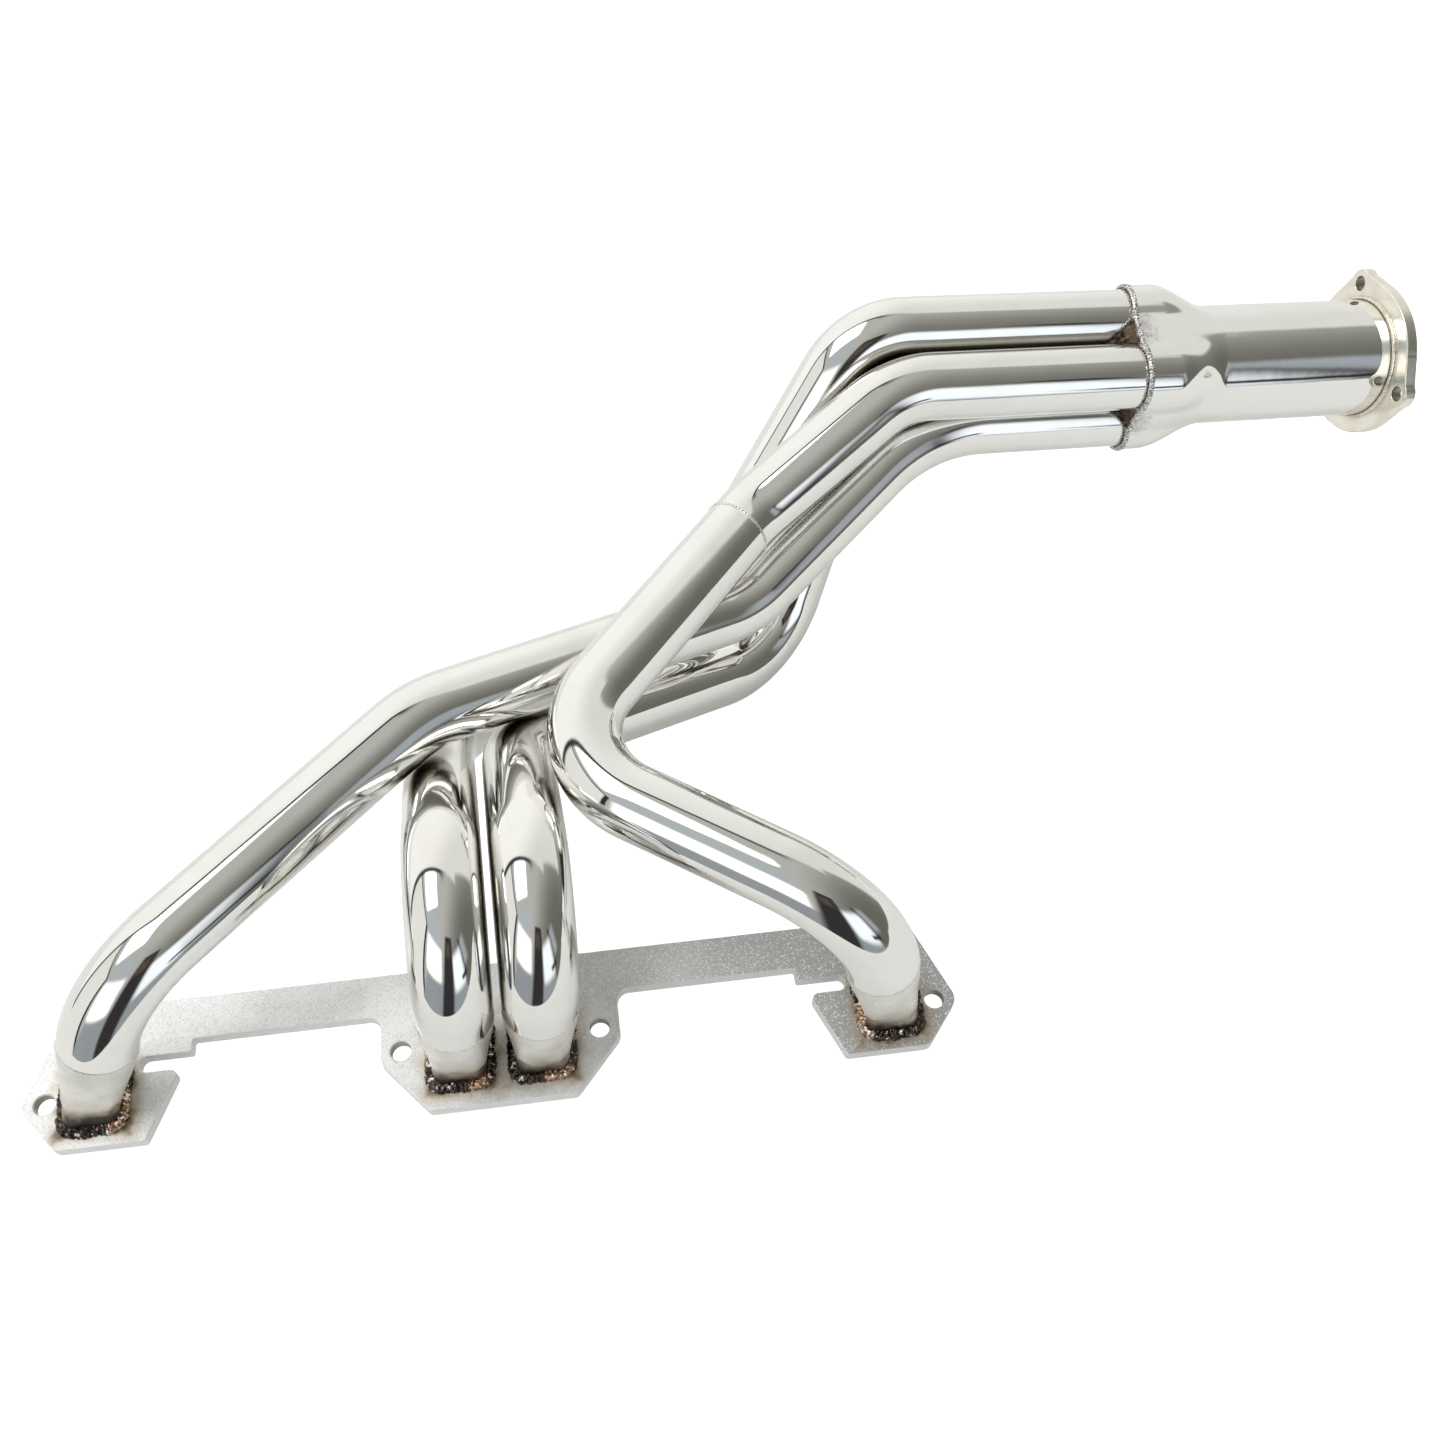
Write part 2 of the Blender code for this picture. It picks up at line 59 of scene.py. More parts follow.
# Head flange, as in the CAD
PLATE_THICK = 8.0
PLATE_HALF_OUTLINE = [
    (40.5, -33.5, 4.0),
    (67.0, -3.0, 9.0),
    (67.0, 25.0, 7.0),
    (170.7, 25.0, 1.5),
    (170.7, 17.3, 1.5),
    (198.7, 17.3, 4.3),
    (198.7, 8.5, 4.3),
    (176.2, 8.5, 4.0),
    (192.0, -30.5, 2.0),
    (239.5, -30.5, 6.0),
    (261.0, -4.7, 9.0),
    (240.5, 50.3, 2.5),
]
BOLT_RADIUS = 5.6
BOLT_SIDES = 64
OUTER_BOLT = (247.7, -3.5)
INNER_BOLT = (55.6, 3.1)
PLATE_ARC_STEP = radians(10.0)
PLATE_RIM = 0.7
PORT_RIM = 0.4
BOLT_RIM = 1.1
RIM_STEPS = 4

# Ports and stubs
END_PORT_X = 220.5
CENTRE_PORT_X = 22.9
PORT_Y = -3.0
PORTS = {1: -END_PORT_X, 2: -CENTRE_PORT_X, 3: CENTRE_PORT_X, 4: END_PORT_X}
STUB_WIDTH = 30.0
STUB_HEIGHT = 35.0
STUB_CORNER = 6.0
STUB_FOOT = 4.0
STUB_LENGTH = 52.0
STUB_SIDES = 144
STUB_STATIONS = 60
STUB_DENT = 1.5              # depth of the forming marks on the stub's front corners
STUB_DENT_HEIGHT = 15.0
STUB_DENT_REACH = 4.6

# Tubes
TUBE_RADIUS = 20.65
TUBE_WALL = 1.6
TUBE_SIDES = 96
RING_STEP = 3.0
BEND_STEP = radians(2.0)
SEAM_WIDTH = 1.2
GAP = 0.3
JOINT = SEAM_WIDTH + 2 * GAP
BENDS = {                    # each tube's bends in order: corner point and bend radius
    1: [((-188, 14, 101), 66), ((-25, 152, 120), 83), ((169, 240, 78), 68)],
    2: [((-10, -6, 172), 47), ((-26, 195, 36), 54), ((141, 279, 25), 65)],
    3: [((33, -4, 160), 49), ((23, 158, 71), 50), ((193, 265, -15), 62)],
    4: [((201, 0, 120), 66), ((38, 111, 126), 51), ((176, 265, 134), 57)],
}
LAST_BEND_RADIUS = {1: 116, 2: 49, 3: 74, 4: 67}
CLUSTER_RUN = {1: 140.0, 2: 185.0, 3: 168.0, 4: 168.0}
SPLIT_TUBE = 4
SPLIT_BEND = 2
MID_SEAM_BEFORE_BEND = 4.0

# Collector
CLUSTER_POINT = Vector((436, 362, 135))
AXIS_AZIMUTH = radians(4.7)
AXIS_ELEVATION = radians(-6.7)
CLUSTER_ROLL = radians(32.6)
CLUSTER_RADIUS = (2 * TUBE_RADIUS + 0.7) / sqrt(2)
MOUTH_CLEARANCE = 0.65
MOUTH_AT = -1.0
MOUTH_LEAN = 6.7
MOUTH_LEAN_ANGLE = radians(16.0)
MOUTH_ROWS = 14
TUBES_END_AT = 13.0
CLOVER_END_AT = 12.5
CONE_END_AT = 54.0
CONE_ROWS = 50
PIPE_ROWS = 40
FLANGE_AT = 176.0
OUTLET_RADIUS = 38.1
COLLECTOR_WALL = 1.6
COLLECTOR_SHORT_OF_FACE = 1.0
COLLECTOR_SIDES = 240
VALLEY_RADIUS = 41.0
VALLEY_SOFTNESS = 3.0
PLUG_THICK = 3.0
PLUG_REACH = 16.0
PLUG_SIDES = 144
PLUG_RIM = 0.3
PLUG_BEHIND_ENDS = 1.0

# Collector flange
OUTLET_FLANGE_THICK = 8.0
OUTLET_FLANGE_RADIUS = 50.5
OUTLET_FLANGE_SIDES = 360
OUTLET_BORE_SIDES = 160
OUTLET_BOLTS = 3
OUTLET_FIRST_BOLT = radians(99.5)
OUTLET_BOLT_CIRCLE = 48.5
OUTLET_BOLT_RADIUS = 4.8
OUTLET_BOLT_SIDES = 48
OUTLET_LOBE_RADIUS = 9.5
OUTLET_LOBE_SPAN = radians(29.0)
OUTLET_RIM = 1.0
OUTLET_BORE_RIM = 0.5
OUTLET_BOLT_RIM = 0.6

# Welds: ripples are crescents of metal, one for each pitch along the bead
FILLET_STEP = 0.35
FILLET_ARC_STEP = radians(3.0)
FILLET_TURN = (radians(-14.0), radians(104.0))
FILLET_POINTS = 18
FILLET_LEG = 4.9
FILLET_PITCH = 2.9
BURIED = 0.8                 # how far a fillet's hidden edge lies inside both faces
COPPER_SPANS = {             # where each fillet is copper: (middle, half width) in degrees round the port
    1: [(330, 34)],
    2: [(300, 17), (168, 24)],
    3: [(292, 22), (12, 16)],
    4: [(207, 30)],
}
COPPER_EDGE = 12.0
SEAM_SIDES = 180
SEAM_ROWS = 9
SEAM_CROWN = 0.12
MID_SEAM_CROWN = 0.6
SEAM_RIPPLES = 60
MOUTH_BEAD_RADIUS = 2.2
MOUTH_BEAD_PLACES = 900
MOUTH_BEAD_TURN = (radians(80.0), radians(250.0))
MOUTH_BEAD_POINTS = 14
MOUTH_BEAD_PITCH = 1.9
MOUTH_BEAD_BACK = 0.6        # the bead's middle lies this far upstream of the mouth's edge
MOUTH_BEAD_HEIGHT = 0.7      # height and width of the bead as shares of its radius
MOUTH_BEAD_WIDTH = 1.1
MOUTH_WEB_CURVE = 1.6
MOUTH_WEB_SLOPE = 1.15       # how far the weld runs back up the tubes for each mm of valley depth
MOUTH_WEB_POINTS = 9
MOUTH_WEB_BOTTOM = 24.0
RING_WELD_LEG = 2.5
RING_WELD_PITCH = 1.8
RING_WELD_PLACES = 540
RING_WELD_POINTS = 14
SOOT_LENGTH = 20.0
SOOT_WIDTH = 9.0
COLLECTOR_TINT = 0.33        # soot just past the mouth, in the valleys

# Finishes
STEEL = (0.90, 0.895, 0.87)
STEEL_SMUDGED = (0.82, 0.81, 0.775)
SPECK = (0.2, 0.19, 0.18)
SOOT_GREY = (0.42, 0.39, 0.38)
SOOT_BROWN = (0.17, 0.115, 0.08)
SOOT_BLACK = (0.02, 0.018, 0.016)
WEB_BROWN = (0.11, 0.075, 0.055)
# painted shade: olive brown for the crevices between tubes
CREVICE_SHADE = (0.20, 0.175, 0.12)
SATIN = (0.86, 0.855, 0.81)
SATIN_DULL = (0.74, 0.735, 0.685)
SATIN_METALLIC = 0.70
STUB_TINTS = [               # colour, its full height and its end above the weld, and its strength
    ((0.70, 0.64, 0.52), 16.0, 32.0, 0.7),
    ((0.30, 0.245, 0.20), 12.0, 21.0, 0.95),
    ((0.045, 0.038, 0.036), 8.0, 14.0, 0.97),
]
SEAM_DULL = (0.62, 0.61, 0.58)
SEAM_BRIGHT = (0.86, 0.85, 0.81)
SCALE_BLACK = (0.03, 0.024, 0.022)
SCALE_BROWN = (0.20, 0.15, 0.12)
COPPER_DARK = (0.20, 0.11, 0.07)
COPPER = (0.80, 0.56, 0.40)
GLINT = (0.85, 0.84, 0.83)
BEAD_PIT = (0.24, 0.23, 0.22)
BEAD_SILVER = (0.92, 0.915, 0.90)
PLATE = (0.97, 0.98, 0.975)
PLATE_DULL = (0.84, 0.85, 0.845)
# painted shade: the grey that the plate turns towards +X
PLATE_SHADE = (0.37, 0.375, 0.37)
PLATE_BRIGHT = (1.0, 1.0, 1.0)
PLATE_GRIT = (0.30, 0.30, 0.30)
PLATE_TINT = (0.50, 0.37, 0.19)
PLATE_BURNT = (0.12, 0.095, 0.07)
# colour of the plate's cut side faces: machined finish, partly a painted highlight
PLATE_MACHINED_HIGHLIGHT = (0.88, 0.88, 0.885)
PLATE_METALLIC = 0.65
CHAMPAGNE = (0.91, 0.88, 0.79)
CHAMPAGNE_DULL = (0.82, 0.78, 0.68)
CHAMPAGNE_TINT = (0.58, 0.50, 0.36)
GOLD_DULL = (0.66, 0.60, 0.47)
GOLD = (0.88, 0.84, 0.74)
RAW = (0.50, 0.48, 0.44)
RAW_BROWN = (0.34, 0.29, 0.24)

# Camera
CAMERA_PLACE = (67.4, -318.9, 783.6)
CAMERA_AZIMUTH = radians(9.28)
CAMERA_ELEVATION = radians(-55.8)
CAMERA_ROLL = radians(1.95)
SENSOR = 36.0
LENS = 36.07

# Floor
FLOOR_DROP = 1.0
FLOOR_REACH = 14000.0
FLOOR_PALE = (0.86, 0.86, 0.85)
FLOOR_PALER = (0.89, 0.89, 0.88)
FLOOR_ROUGH = 0.9
FLOOR_GLOW = 0.85
FLOOR_GLOW_REFLECTED = 0.09
FLOOR_GLOW_COLOUR = (1.0, 1.0, 0.985)
TABLE_EDGE_Y = -262.0        # reflections see the table end along a slanting line in front
TABLE_EDGE_SLOPE = -0.36

# Light tent: an azimuth of 0 degrees is towards +Y and one of 90 degrees towards +X
CEILING = (0.49, 0.49, 0.465)
RIGHT_DARK = (0.145, 0.145, 0.125)
DARK_AZIMUTH = radians(118.0)
DARK_ELEVATION = radians(5.0)
BACKDROP = (1.02, 1.015, 0.985)
BACKDROP_RIGHT = (0.78, 0.78, 0.75)
BACKDROP_AZIMUTH = radians(12.0)
BACKDROP_SLOPE = 3.0
BRIGHT_AZIMUTH = radians(318.0)
WHITE = (1.0, 1.0, 1.0)
GREY_PANEL = (0.84, 0.84, 0.81)
HAZE_BLUE = (0.47, 0.51, 0.54)
BLUE_GREY = (0.31, 0.34, 0.365)
KEY_LIGHT = (4.0, 4.0, 4.0)
FRAME_DARK = (0.03, 0.03, 0.035)
SOFTBOX = (1.6, 1.6, 1.6)
FRONT_CARD = (1.08, 1.14, 1.2)
SIDE_CARD = (0.38, 0.41, 0.45)
PERSON_DARK = (0.035, 0.033, 0.035)
PERSON_BROWN = (0.10, 0.075, 0.065)

# What the tent holds, from the farthest to the nearest: colour, the two (azimuth, elevation)
# corners in degrees, softness of the edge, and any tilt in degrees
CARDS = [
    (HAZE_BLUE, (199, 37), (246, 60), 0.10),
    (FRAME_DARK, (238, -60), (302, 42), 0.02),
    (GREY_PANEL, (242, -60), (300, 40), 0.02),
    (BLUE_GREY, (136, -60), (239, 6), 0.10),
    (SOFTBOX, (196, 7), (235, 38), 0.07),
    (SIDE_CARD, (124, 6), (135, 30), 0.07),
    (FRAME_DARK, (135, -4), (138.5, 34), 0.02),
    (FRONT_CARD, (139, -6), (168, 28), 0.09),
    (FRAME_DARK, (133, -1.5), (147, 3.0), 0.03),
    (PERSON_DARK, (170, -50), (194, 49), 0.06, 14.5),
    (PERSON_BROWN, (166, 30), (180, 43), 0.06, 14.5),
    (KEY_LIGHT, (244, 49.4), (306, 78.6), 0.05),
]
RIGHT_END = ((71, -14), (113, 52), 0.07)   # here the backdrop has ended


# ---- outlines and paths

def angles_round(sides):
    return tau * np.arange(sides) / sides


def corner_arc(before, here, after, radius, step):
    """Points of the arc that rounds the corner here."""
    back = (before - here).normalized()
    ahead = (after - here).normalized()
    turn = pi - back.angle(ahead)
    centre = here + (back + ahead).normalized() * (radius / cos(turn / 2))
    first = here + back * (radius * tan(turn / 2)) - centre
    axis = back.cross(ahead).normalized()
    pieces = max(2, ceil(turn / step))
    return [centre + Matrix.Rotation(-turn * k / pieces, 3, axis) @ first for k in range(pieces + 1)]


def rounded_outline(corners, step):
    """Closed outline through (x, y, radius) corners, each corner turned into an arc."""
    places = [Vector((x, y, 0.0)) for x, y, radius in corners]
    afters = places[1:] + places[:1]
    points = []
    for i, (x, y, radius) in enumerate(corners):
        points += corner_arc(places[i - 1], places[i], afters[i], radius, step)
    return [point.to_2d() for point in points]


def port_outline(number, inset, step):
    """Rounded rectangle round a port, set in from the outside of its stub."""
    half_w = STUB_WIDTH / 2 - inset
    half_h = STUB_HEIGHT / 2 - inset
    signs = [(1, -1), (1, 1), (-1, 1), (-1, -1)]
    return rounded_outline([(PORTS[number] + x * half_w, PORT_Y + y * half_h, STUB_CORNER - inset)
                            for x, y in signs], step)


def polar_outline(radii, centre=(0.0, 0.0)):
    """Closed outline with one radius for each of its evenly spaced angles."""
    return [Vector((centre[0] + radius * cos(angle), centre[1] + radius * sin(angle)))
            for radius, angle in zip(radii, angles_round(len(radii)))]


def bent_path(corners, radii):
    """Straight runs joined by arcs, and the index of each arc's first point."""
    points = [corners[0]]
    starts = []
    for before, here, after, radius in zip(corners, corners[1:], corners[2:], radii):
        starts.append(len(points))
        points += corner_arc(before, here, after, radius, BEND_STEP)
    return points + [corners[-1]], starts


def lengths(vectors):
    return np.linalg.norm(vectors, axis=1)


def path_array(points):
    return np.array([tuple(point) for point in points])


def even_steps(path, step):
    """The path sampled again at even steps, with both ends kept, and how far along each point is."""
    travelled = np.append(0.0, np.cumsum(lengths(np.diff(path, axis=0))))
    wanted = np.linspace(0.0, travelled[-1], round(travelled[-1] / step) + 1)
    return np.stack([np.interp(wanted, travelled, values) for values in path.T], axis=1), wanted


def ring_spokes(path, sides):
    """Unit vectors square to the path, all round it at each point, carried along without twisting."""
    headings = np.gradient(path, axis=0)
    headings /= lengths(headings)[:, None]
    spoke = np.array([1.0, 0.0, 0.0])
    first = []
    for heading in headings:
        spoke = spoke - heading * (spoke @ heading)
        spoke /= np.linalg.norm(spoke)
        first.append(spoke)
    first = np.array(first)
    second = np.cross(headings, first)
    angles = angles_round(sides)[None, :, None]
    return first[:, None] * np.cos(angles) + second[:, None] * np.sin(angles)


# ---- shapes shared by pieces

AXIS = Vector((cos(AXIS_ELEVATION) * cos(AXIS_AZIMUTH), cos(AXIS_ELEVATION) * sin(AXIS_AZIMUTH),
               sin(AXIS_ELEVATION)))
LEVEL = AXIS.cross(Vector((0, 0, 1))).normalized()
RISE = LEVEL.cross(AXIS)
FRONT = LEVEL * cos(CLUSTER_ROLL) + RISE * sin(CLUSTER_ROLL)
TOP = RISE * cos(CLUSTER_ROLL) - LEVEL * sin(CLUSTER_ROLL)
SLOTS = {4: FRONT, 2: TOP, 3: -FRONT, 1: -TOP}


def centreline(number):
    """A tube's centreline, from the top of its stub's foot into the collector."""
    foot = Vector((PORTS[number], PORT_Y, PLATE_THICK + GAP + STUB_FOOT))
    arrive = CLUSTER_POINT + SLOTS[number] * CLUSTER_RADIUS
    corners = [foot] + [Vector(place) for place, radius in BENDS[number]]
    corners += [arrive - AXIS * CLUSTER_RUN[number], arrive + AXIS * TUBES_END_AT]
    return bent_path(corners, [radius for place, radius in BENDS[number]] + [LAST_BEND_RADIUS[number]])


def smooth_step(x):
    x = np.clip(x, 0.0, 1.0)
    return x * x * (3 - 2 * x)


def off_nearest(angles, turn, first=0.0):
    """How far angles are from the nearest of the directions that repeat once a turn."""
    return (angles - first + turn / 2) % turn - turn / 2


def clover_radius(angles, tube_radius, valley, softness):
    """Polar outline round the four tubes, with the valleys between them filled in softly."""
    off = off_nearest(angles, pi / 2)
    side = CLUSTER_RADIUS * np.sin(off)
    arc = CLUSTER_RADIUS * np.cos(off) + np.sqrt(np.maximum(tube_radius ** 2 - side ** 2, 0.0))
    return (arc + valley + np.sqrt((arc - valley) ** 2 + softness ** 2)) / 2


def mouth_stations(angles):
    """Stations of the collector's slanting mouth at angles about its axis."""
    return MOUTH_AT - MOUTH_LEAN * np.cos(angles - MOUTH_LEAN_ANGLE)


def axis_outwards(angles):
    """Unit vectors outwards from the collector's axis."""
    return np.cos(angles)[..., None] * np.array(FRONT) + np.sin(angles)[..., None] * np.array(TOP)


def to_row(stations, radii, angles):
    """Points about the collector's axis, in the row frame, from arrays of the same shape."""
    centre = np.array(CLUSTER_POINT) + stations[..., None] * np.array(AXIS)
    return centre + radii[..., None] * axis_outwards(angles)


def placement(place, x_axis, y_axis, z_axis):
    """World matrix of something at a place, turned to the given axes."""
    return Matrix.Translation(place * MM) @ Matrix((x_axis, y_axis, z_axis)).transposed().to_4x4()


def across_axis(station):
    """Placement of a plate square to the collector's axis."""
    return placement(CLUSTER_POINT + AXIS * station, FRONT, TOP, AXIS)


# ---- mesh building

def linked_object(name, data):
    made = bpy.data.objects.new(name, data)
    bpy.context.scene.collection.objects.link(made)
    return made


def add_piece(node, finish, mesh, materials, sharp=35.0, flat=False):
    """Links a mesh that stands for a CAD node. A flat piece keeps even shading next to its rims."""
    mesh.name = f"{node}_{finish}"
    mesh.shade_smooth()
    mesh.set_sharp_from_angle(angle=radians(sharp))
    for each in materials:
        mesh.materials.append(each)
    piece = linked_object(mesh.name, mesh)
    if flat:
        piece.modifiers.new("even_normals", "WEIGHTED_NORMAL").keep_sharp = True
    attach(piece, "root")
    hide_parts(node)


def add_values(mesh, name, values):
    layer = mesh.attributes.new(name, "FLOAT", "POINT")
    layer.data.foreach_set("value", np.asarray(values, dtype=np.float32).ravel())


def add_along(mesh, uvs):
    layer = mesh.uv_layers.new(name="along")
    layer.data.foreach_set("uv", uvs.astype(np.float32).ravel())


def grid(columns, travelled):
    """Quads of a grid whose columns wrap round, and UVs: u once round and v the metres travelled."""
    rows = len(travelled) - 1
    row = np.repeat(np.arange(rows), columns)[:, None] + np.array([0, 0, 1, 1])
    column = np.tile(np.arange(columns), rows)[:, None] + np.array([0, 1, 1, 0])
    return row * columns + column % columns, np.stack([column / columns, travelled[row] * MM], axis=-1)


def shell_mesh(outer, inner, travelled):
    """Closed wall between matching outer and inner rings. Inner faces take material 1."""
    rows, columns = outer.shape[:2]
    count = rows * columns
    last = count - columns
    wall, uvs = grid(columns, travelled)
    k = np.arange(columns)
    n = (k + 1) % columns
    start_cap = np.stack([n, k, k + count, n + count], axis=-1)
    end_cap = np.stack([k, n, n + count, k + count], axis=-1) + last
    points = np.concatenate([outer.reshape(-1, 3), inner.reshape(-1, 3)]) * MM
    faces = np.concatenate([wall, (wall + count)[:, ::-1], start_cap, end_cap])
    mesh = bpy.data.meshes.new("shell")
    mesh.from_pydata(points.tolist(), [], faces.tolist())
    add_along(mesh, np.concatenate([uvs, uvs[:, ::-1], np.zeros((2 * columns, 4, 2))]))
    slots = np.zeros(len(faces), dtype=np.int32)
    slots[len(wall):2 * len(wall)] = 1
    mesh.polygons.foreach_set("material_index", slots)
    return mesh


def loop_mesh(sections, travelled):
    """Closed ring of cross-sections, for weld beads. The sections are (places, points, 3)."""
    rows, columns = sections.shape[:2]
    whole = travelled[-1] + np.linalg.norm(sections[0, 0] - sections[-1, 0])
    faces, uvs = grid(columns, np.append(travelled, whole))
    mesh = bpy.data.meshes.new("loop")
    mesh.from_pydata((sections.reshape(-1, 3) * MM).tolist(), [], (faces % (rows * columns)).tolist())
    add_along(mesh, uvs)
    return mesh


def turned_left(path):
    """Offsets to the left of travel round a closed outline, scaled so that edges stay parallel."""
    ahead = np.roll(path, -1, axis=0) - path
    ahead /= lengths(ahead)[:, None]
    left = np.stack([-ahead[:, 1], ahead[:, 0]], axis=1)
    both = left + np.roll(left, 1, axis=0)
    both /= lengths(both)[:, None]
    return both / np.maximum((both * left).sum(axis=1), 0.5)[:, None]


def plate_mesh(outlines, rims, thickness, low=0.0):
    """Plate from z = low up, with rounded rims. The first outline is the outside, and the walls of
    the other outlines, its holes, take material 1."""
    work = bmesh.new()
    caps = ([], [])
    for index, (outline, rim) in enumerate(zip(outlines, rims)):
        path = path_array(outline)
        x, y = path.T
        area = (x * np.roll(y, -1) - y * np.roll(x, -1)).sum()
        if (area > 0) != (index == 0):
            path = path[::-1]
        inwards = turned_left(path)
        turns = np.linspace(pi / 2, 0, RIM_STEPS + 1)
        rows = [(rim * (1 - cos(turn)), rim * (1 - sin(turn))) for turn in turns]
        rows += [(inset, thickness - rise) for inset, rise in rows[::-1]]
        rings = [[work.verts.new((px * MM, py * MM, (low + height) * MM))
                  for px, py in path + inwards * inset] for inset, height in rows]
        for level, (ring_a, ring_b) in enumerate(zip(rings, rings[1:])):
            for k in range(len(path)):
                n = (k + 1) % len(path)
                face = work.faces.new((ring_a[k], ring_a[n], ring_b[n], ring_b[k]))
                face.material_index = 1 if index and level == RIM_STEPS else 0
        for cap, ring in zip(caps, (rings[0], rings[-1])):
            cap += [work.edges.get(pair) for pair in zip(ring, ring[1:] + ring[:1])]
    for cap in caps:
        bmesh.ops.triangle_fill(work, edges=cap, use_beauty=True, use_dissolve=False)
    bmesh.ops.recalc_face_normals(work, faces=work.faces)
    mesh = bpy.data.meshes.new("plate")
    work.to_mesh(mesh)
    work.free()
    return mesh


# ---- node helpers

class Nodes:
    """Short names for building a node tree."""

    def __init__(self, tree):
        self.tree = tree

    def add(self, kind, inputs=None, **settings):
        node = self.tree.nodes.new("ShaderNode" + kind)
        for key, value in settings.items():
            setattr(node, key, value)
        for key, value in (inputs or {}).items():
            self.give(node.inputs[key], value)
        return node

    def give(self, socket, value):
        """Links or sets an input. A colour is given as red, green and blue."""
        if isinstance(value, bpy.types.NodeSocket):
            self.tree.links.new(value, socket)
        elif socket.type == "RGBA":
            socket.default_value = (*value, 1.0)
        else:
            socket.default_value = value

    def math(self, operation, *values):
        return self.add("Math", dict(enumerate(values)), operation=operation).outputs[0]

    def plus(self, first, second):
        return self.math("ADD", first, second)

    def minus(self, first, second):
        return self.math("SUBTRACT", first, second)

    def times(self, first, second):
        return self.math("MULTIPLY", first, second)

    def beyond(self, value, middle, half):
        """How far a value is outside the span of middle plus or minus half."""
        return self.minus(self.math("ABSOLUTE", self.minus(value, middle)), half)

    def vector(self, operation, *values):
        node = self.add("VectorMath", dict(enumerate(values)), operation=operation)
        return node.outputs["Value" if operation in ("DOT_PRODUCT", "LENGTH") else "Vector"]

    def parts(self, vector):
        return self.add("SeparateXYZ", {0: vector}).outputs

    def joined(self, x, y):
        return self.add("CombineXYZ", {0: x, 1: y}).outputs[0]

    def stretched(self, across, along):
        """The UVs along a piece, scaled apart, for streaks and grain."""
        u, v, _ = self.parts(self.add("UVMap", uv_map="along").outputs[0])
        return self.joined(self.times(u, across), self.times(v, along))

    def fade(self, value, low, high, at_low=0.0, at_high=1.0):
        """Smooth step from at_low to at_high as value goes from low to high."""
        inputs = {0: value, 1: low, 2: high, 3: at_low, 4: at_high}
        return self.add("MapRange", inputs, interpolation_type="SMOOTHSTEP").outputs[0]

    def mix(self, factor, first, second):
        return self.add("Mix", {0: factor, 6: first, 7: second}, data_type="RGBA").outputs[2]

    def paint(self, base, shade, value, low, high, at_low=0.0, at_high=1.0):
        """The base with a share of shade that fades as value goes from low to high."""
        return self.mix(self.fade(value, low, high, at_low, at_high), base, shade)

    def noise(self, vector, scale, detail=3.0, rough=0.5):
        inputs = {"Vector": vector, "Scale": scale, "Detail": detail, "Roughness": rough}
        return self.add("TexNoise", inputs).outputs["Fac"]

    def wobble(self, vector, scale, amount, detail=3.0, rough=0.5):
        """Noise centred on nothing, of the given amount from peak to peak."""
        return self.times(self.minus(self.noise(vector, scale, detail, rough), 0.5), amount)

    def cells(self, vector, scale, output="Distance"):
        return self.add("TexVoronoi", {"Vector": vector, "Scale": scale}).outputs[output]

    def bump(self, height, strength, distance, normal=None):
        inputs = {"Height": height, "Strength": strength, "Distance": distance}
        if normal is not None:
            inputs["Normal"] = normal
        return self.add("Bump", inputs).outputs[0]

    def round_axis(self, place):
        """Distance from the collector's axis, and depth past the flange's face, in metres."""
        local = self.vector("SUBTRACT", place, tuple((CLUSTER_POINT + AXIS * FLANGE_AT) * MM))
        depth = self.vector("DOT_PRODUCT", local, tuple(AXIS))
        node = self.add("VectorMath", {0: tuple(AXIS), "Scale": depth}, operation="SCALE")
        aside = self.vector("SUBTRACT", local, node.outputs["Vector"])
        return self.vector("LENGTH", aside), depth

    def crevice(self, reach, closed, open_at, amount):
        """Up to amount where other surfaces within reach, in metres, shut out the light."""
        seen = self.add("AmbientOcclusion", {"Distance": reach}, samples=4)
        return self.fade(seen.outputs["AO"], closed, open_at, amount, 0.0)

    def value(self, name):
        return self.add("Attribute", attribute_name=name).outputs["Fac"]


def material(name, look, *settings):
    """A metal whose look gives its base colour, roughness, normal and, if not 1, metallic value."""
    made = bpy.data.materials.new(name)
    made.use_nodes = True
    nodes = Nodes(made.node_tree)
    inputs = made.node_tree.nodes["Principled BSDF"].inputs
    nodes.give(inputs["Metallic"], 1.0)
    values = look(nodes, nodes.add("NewGeometry").outputs["Position"], *settings)
    for socket, value in zip(("Base Color", "Roughness", "Normal", "Metallic"), values):
        nodes.give(inputs[socket], value)
    return made


# ---- materials

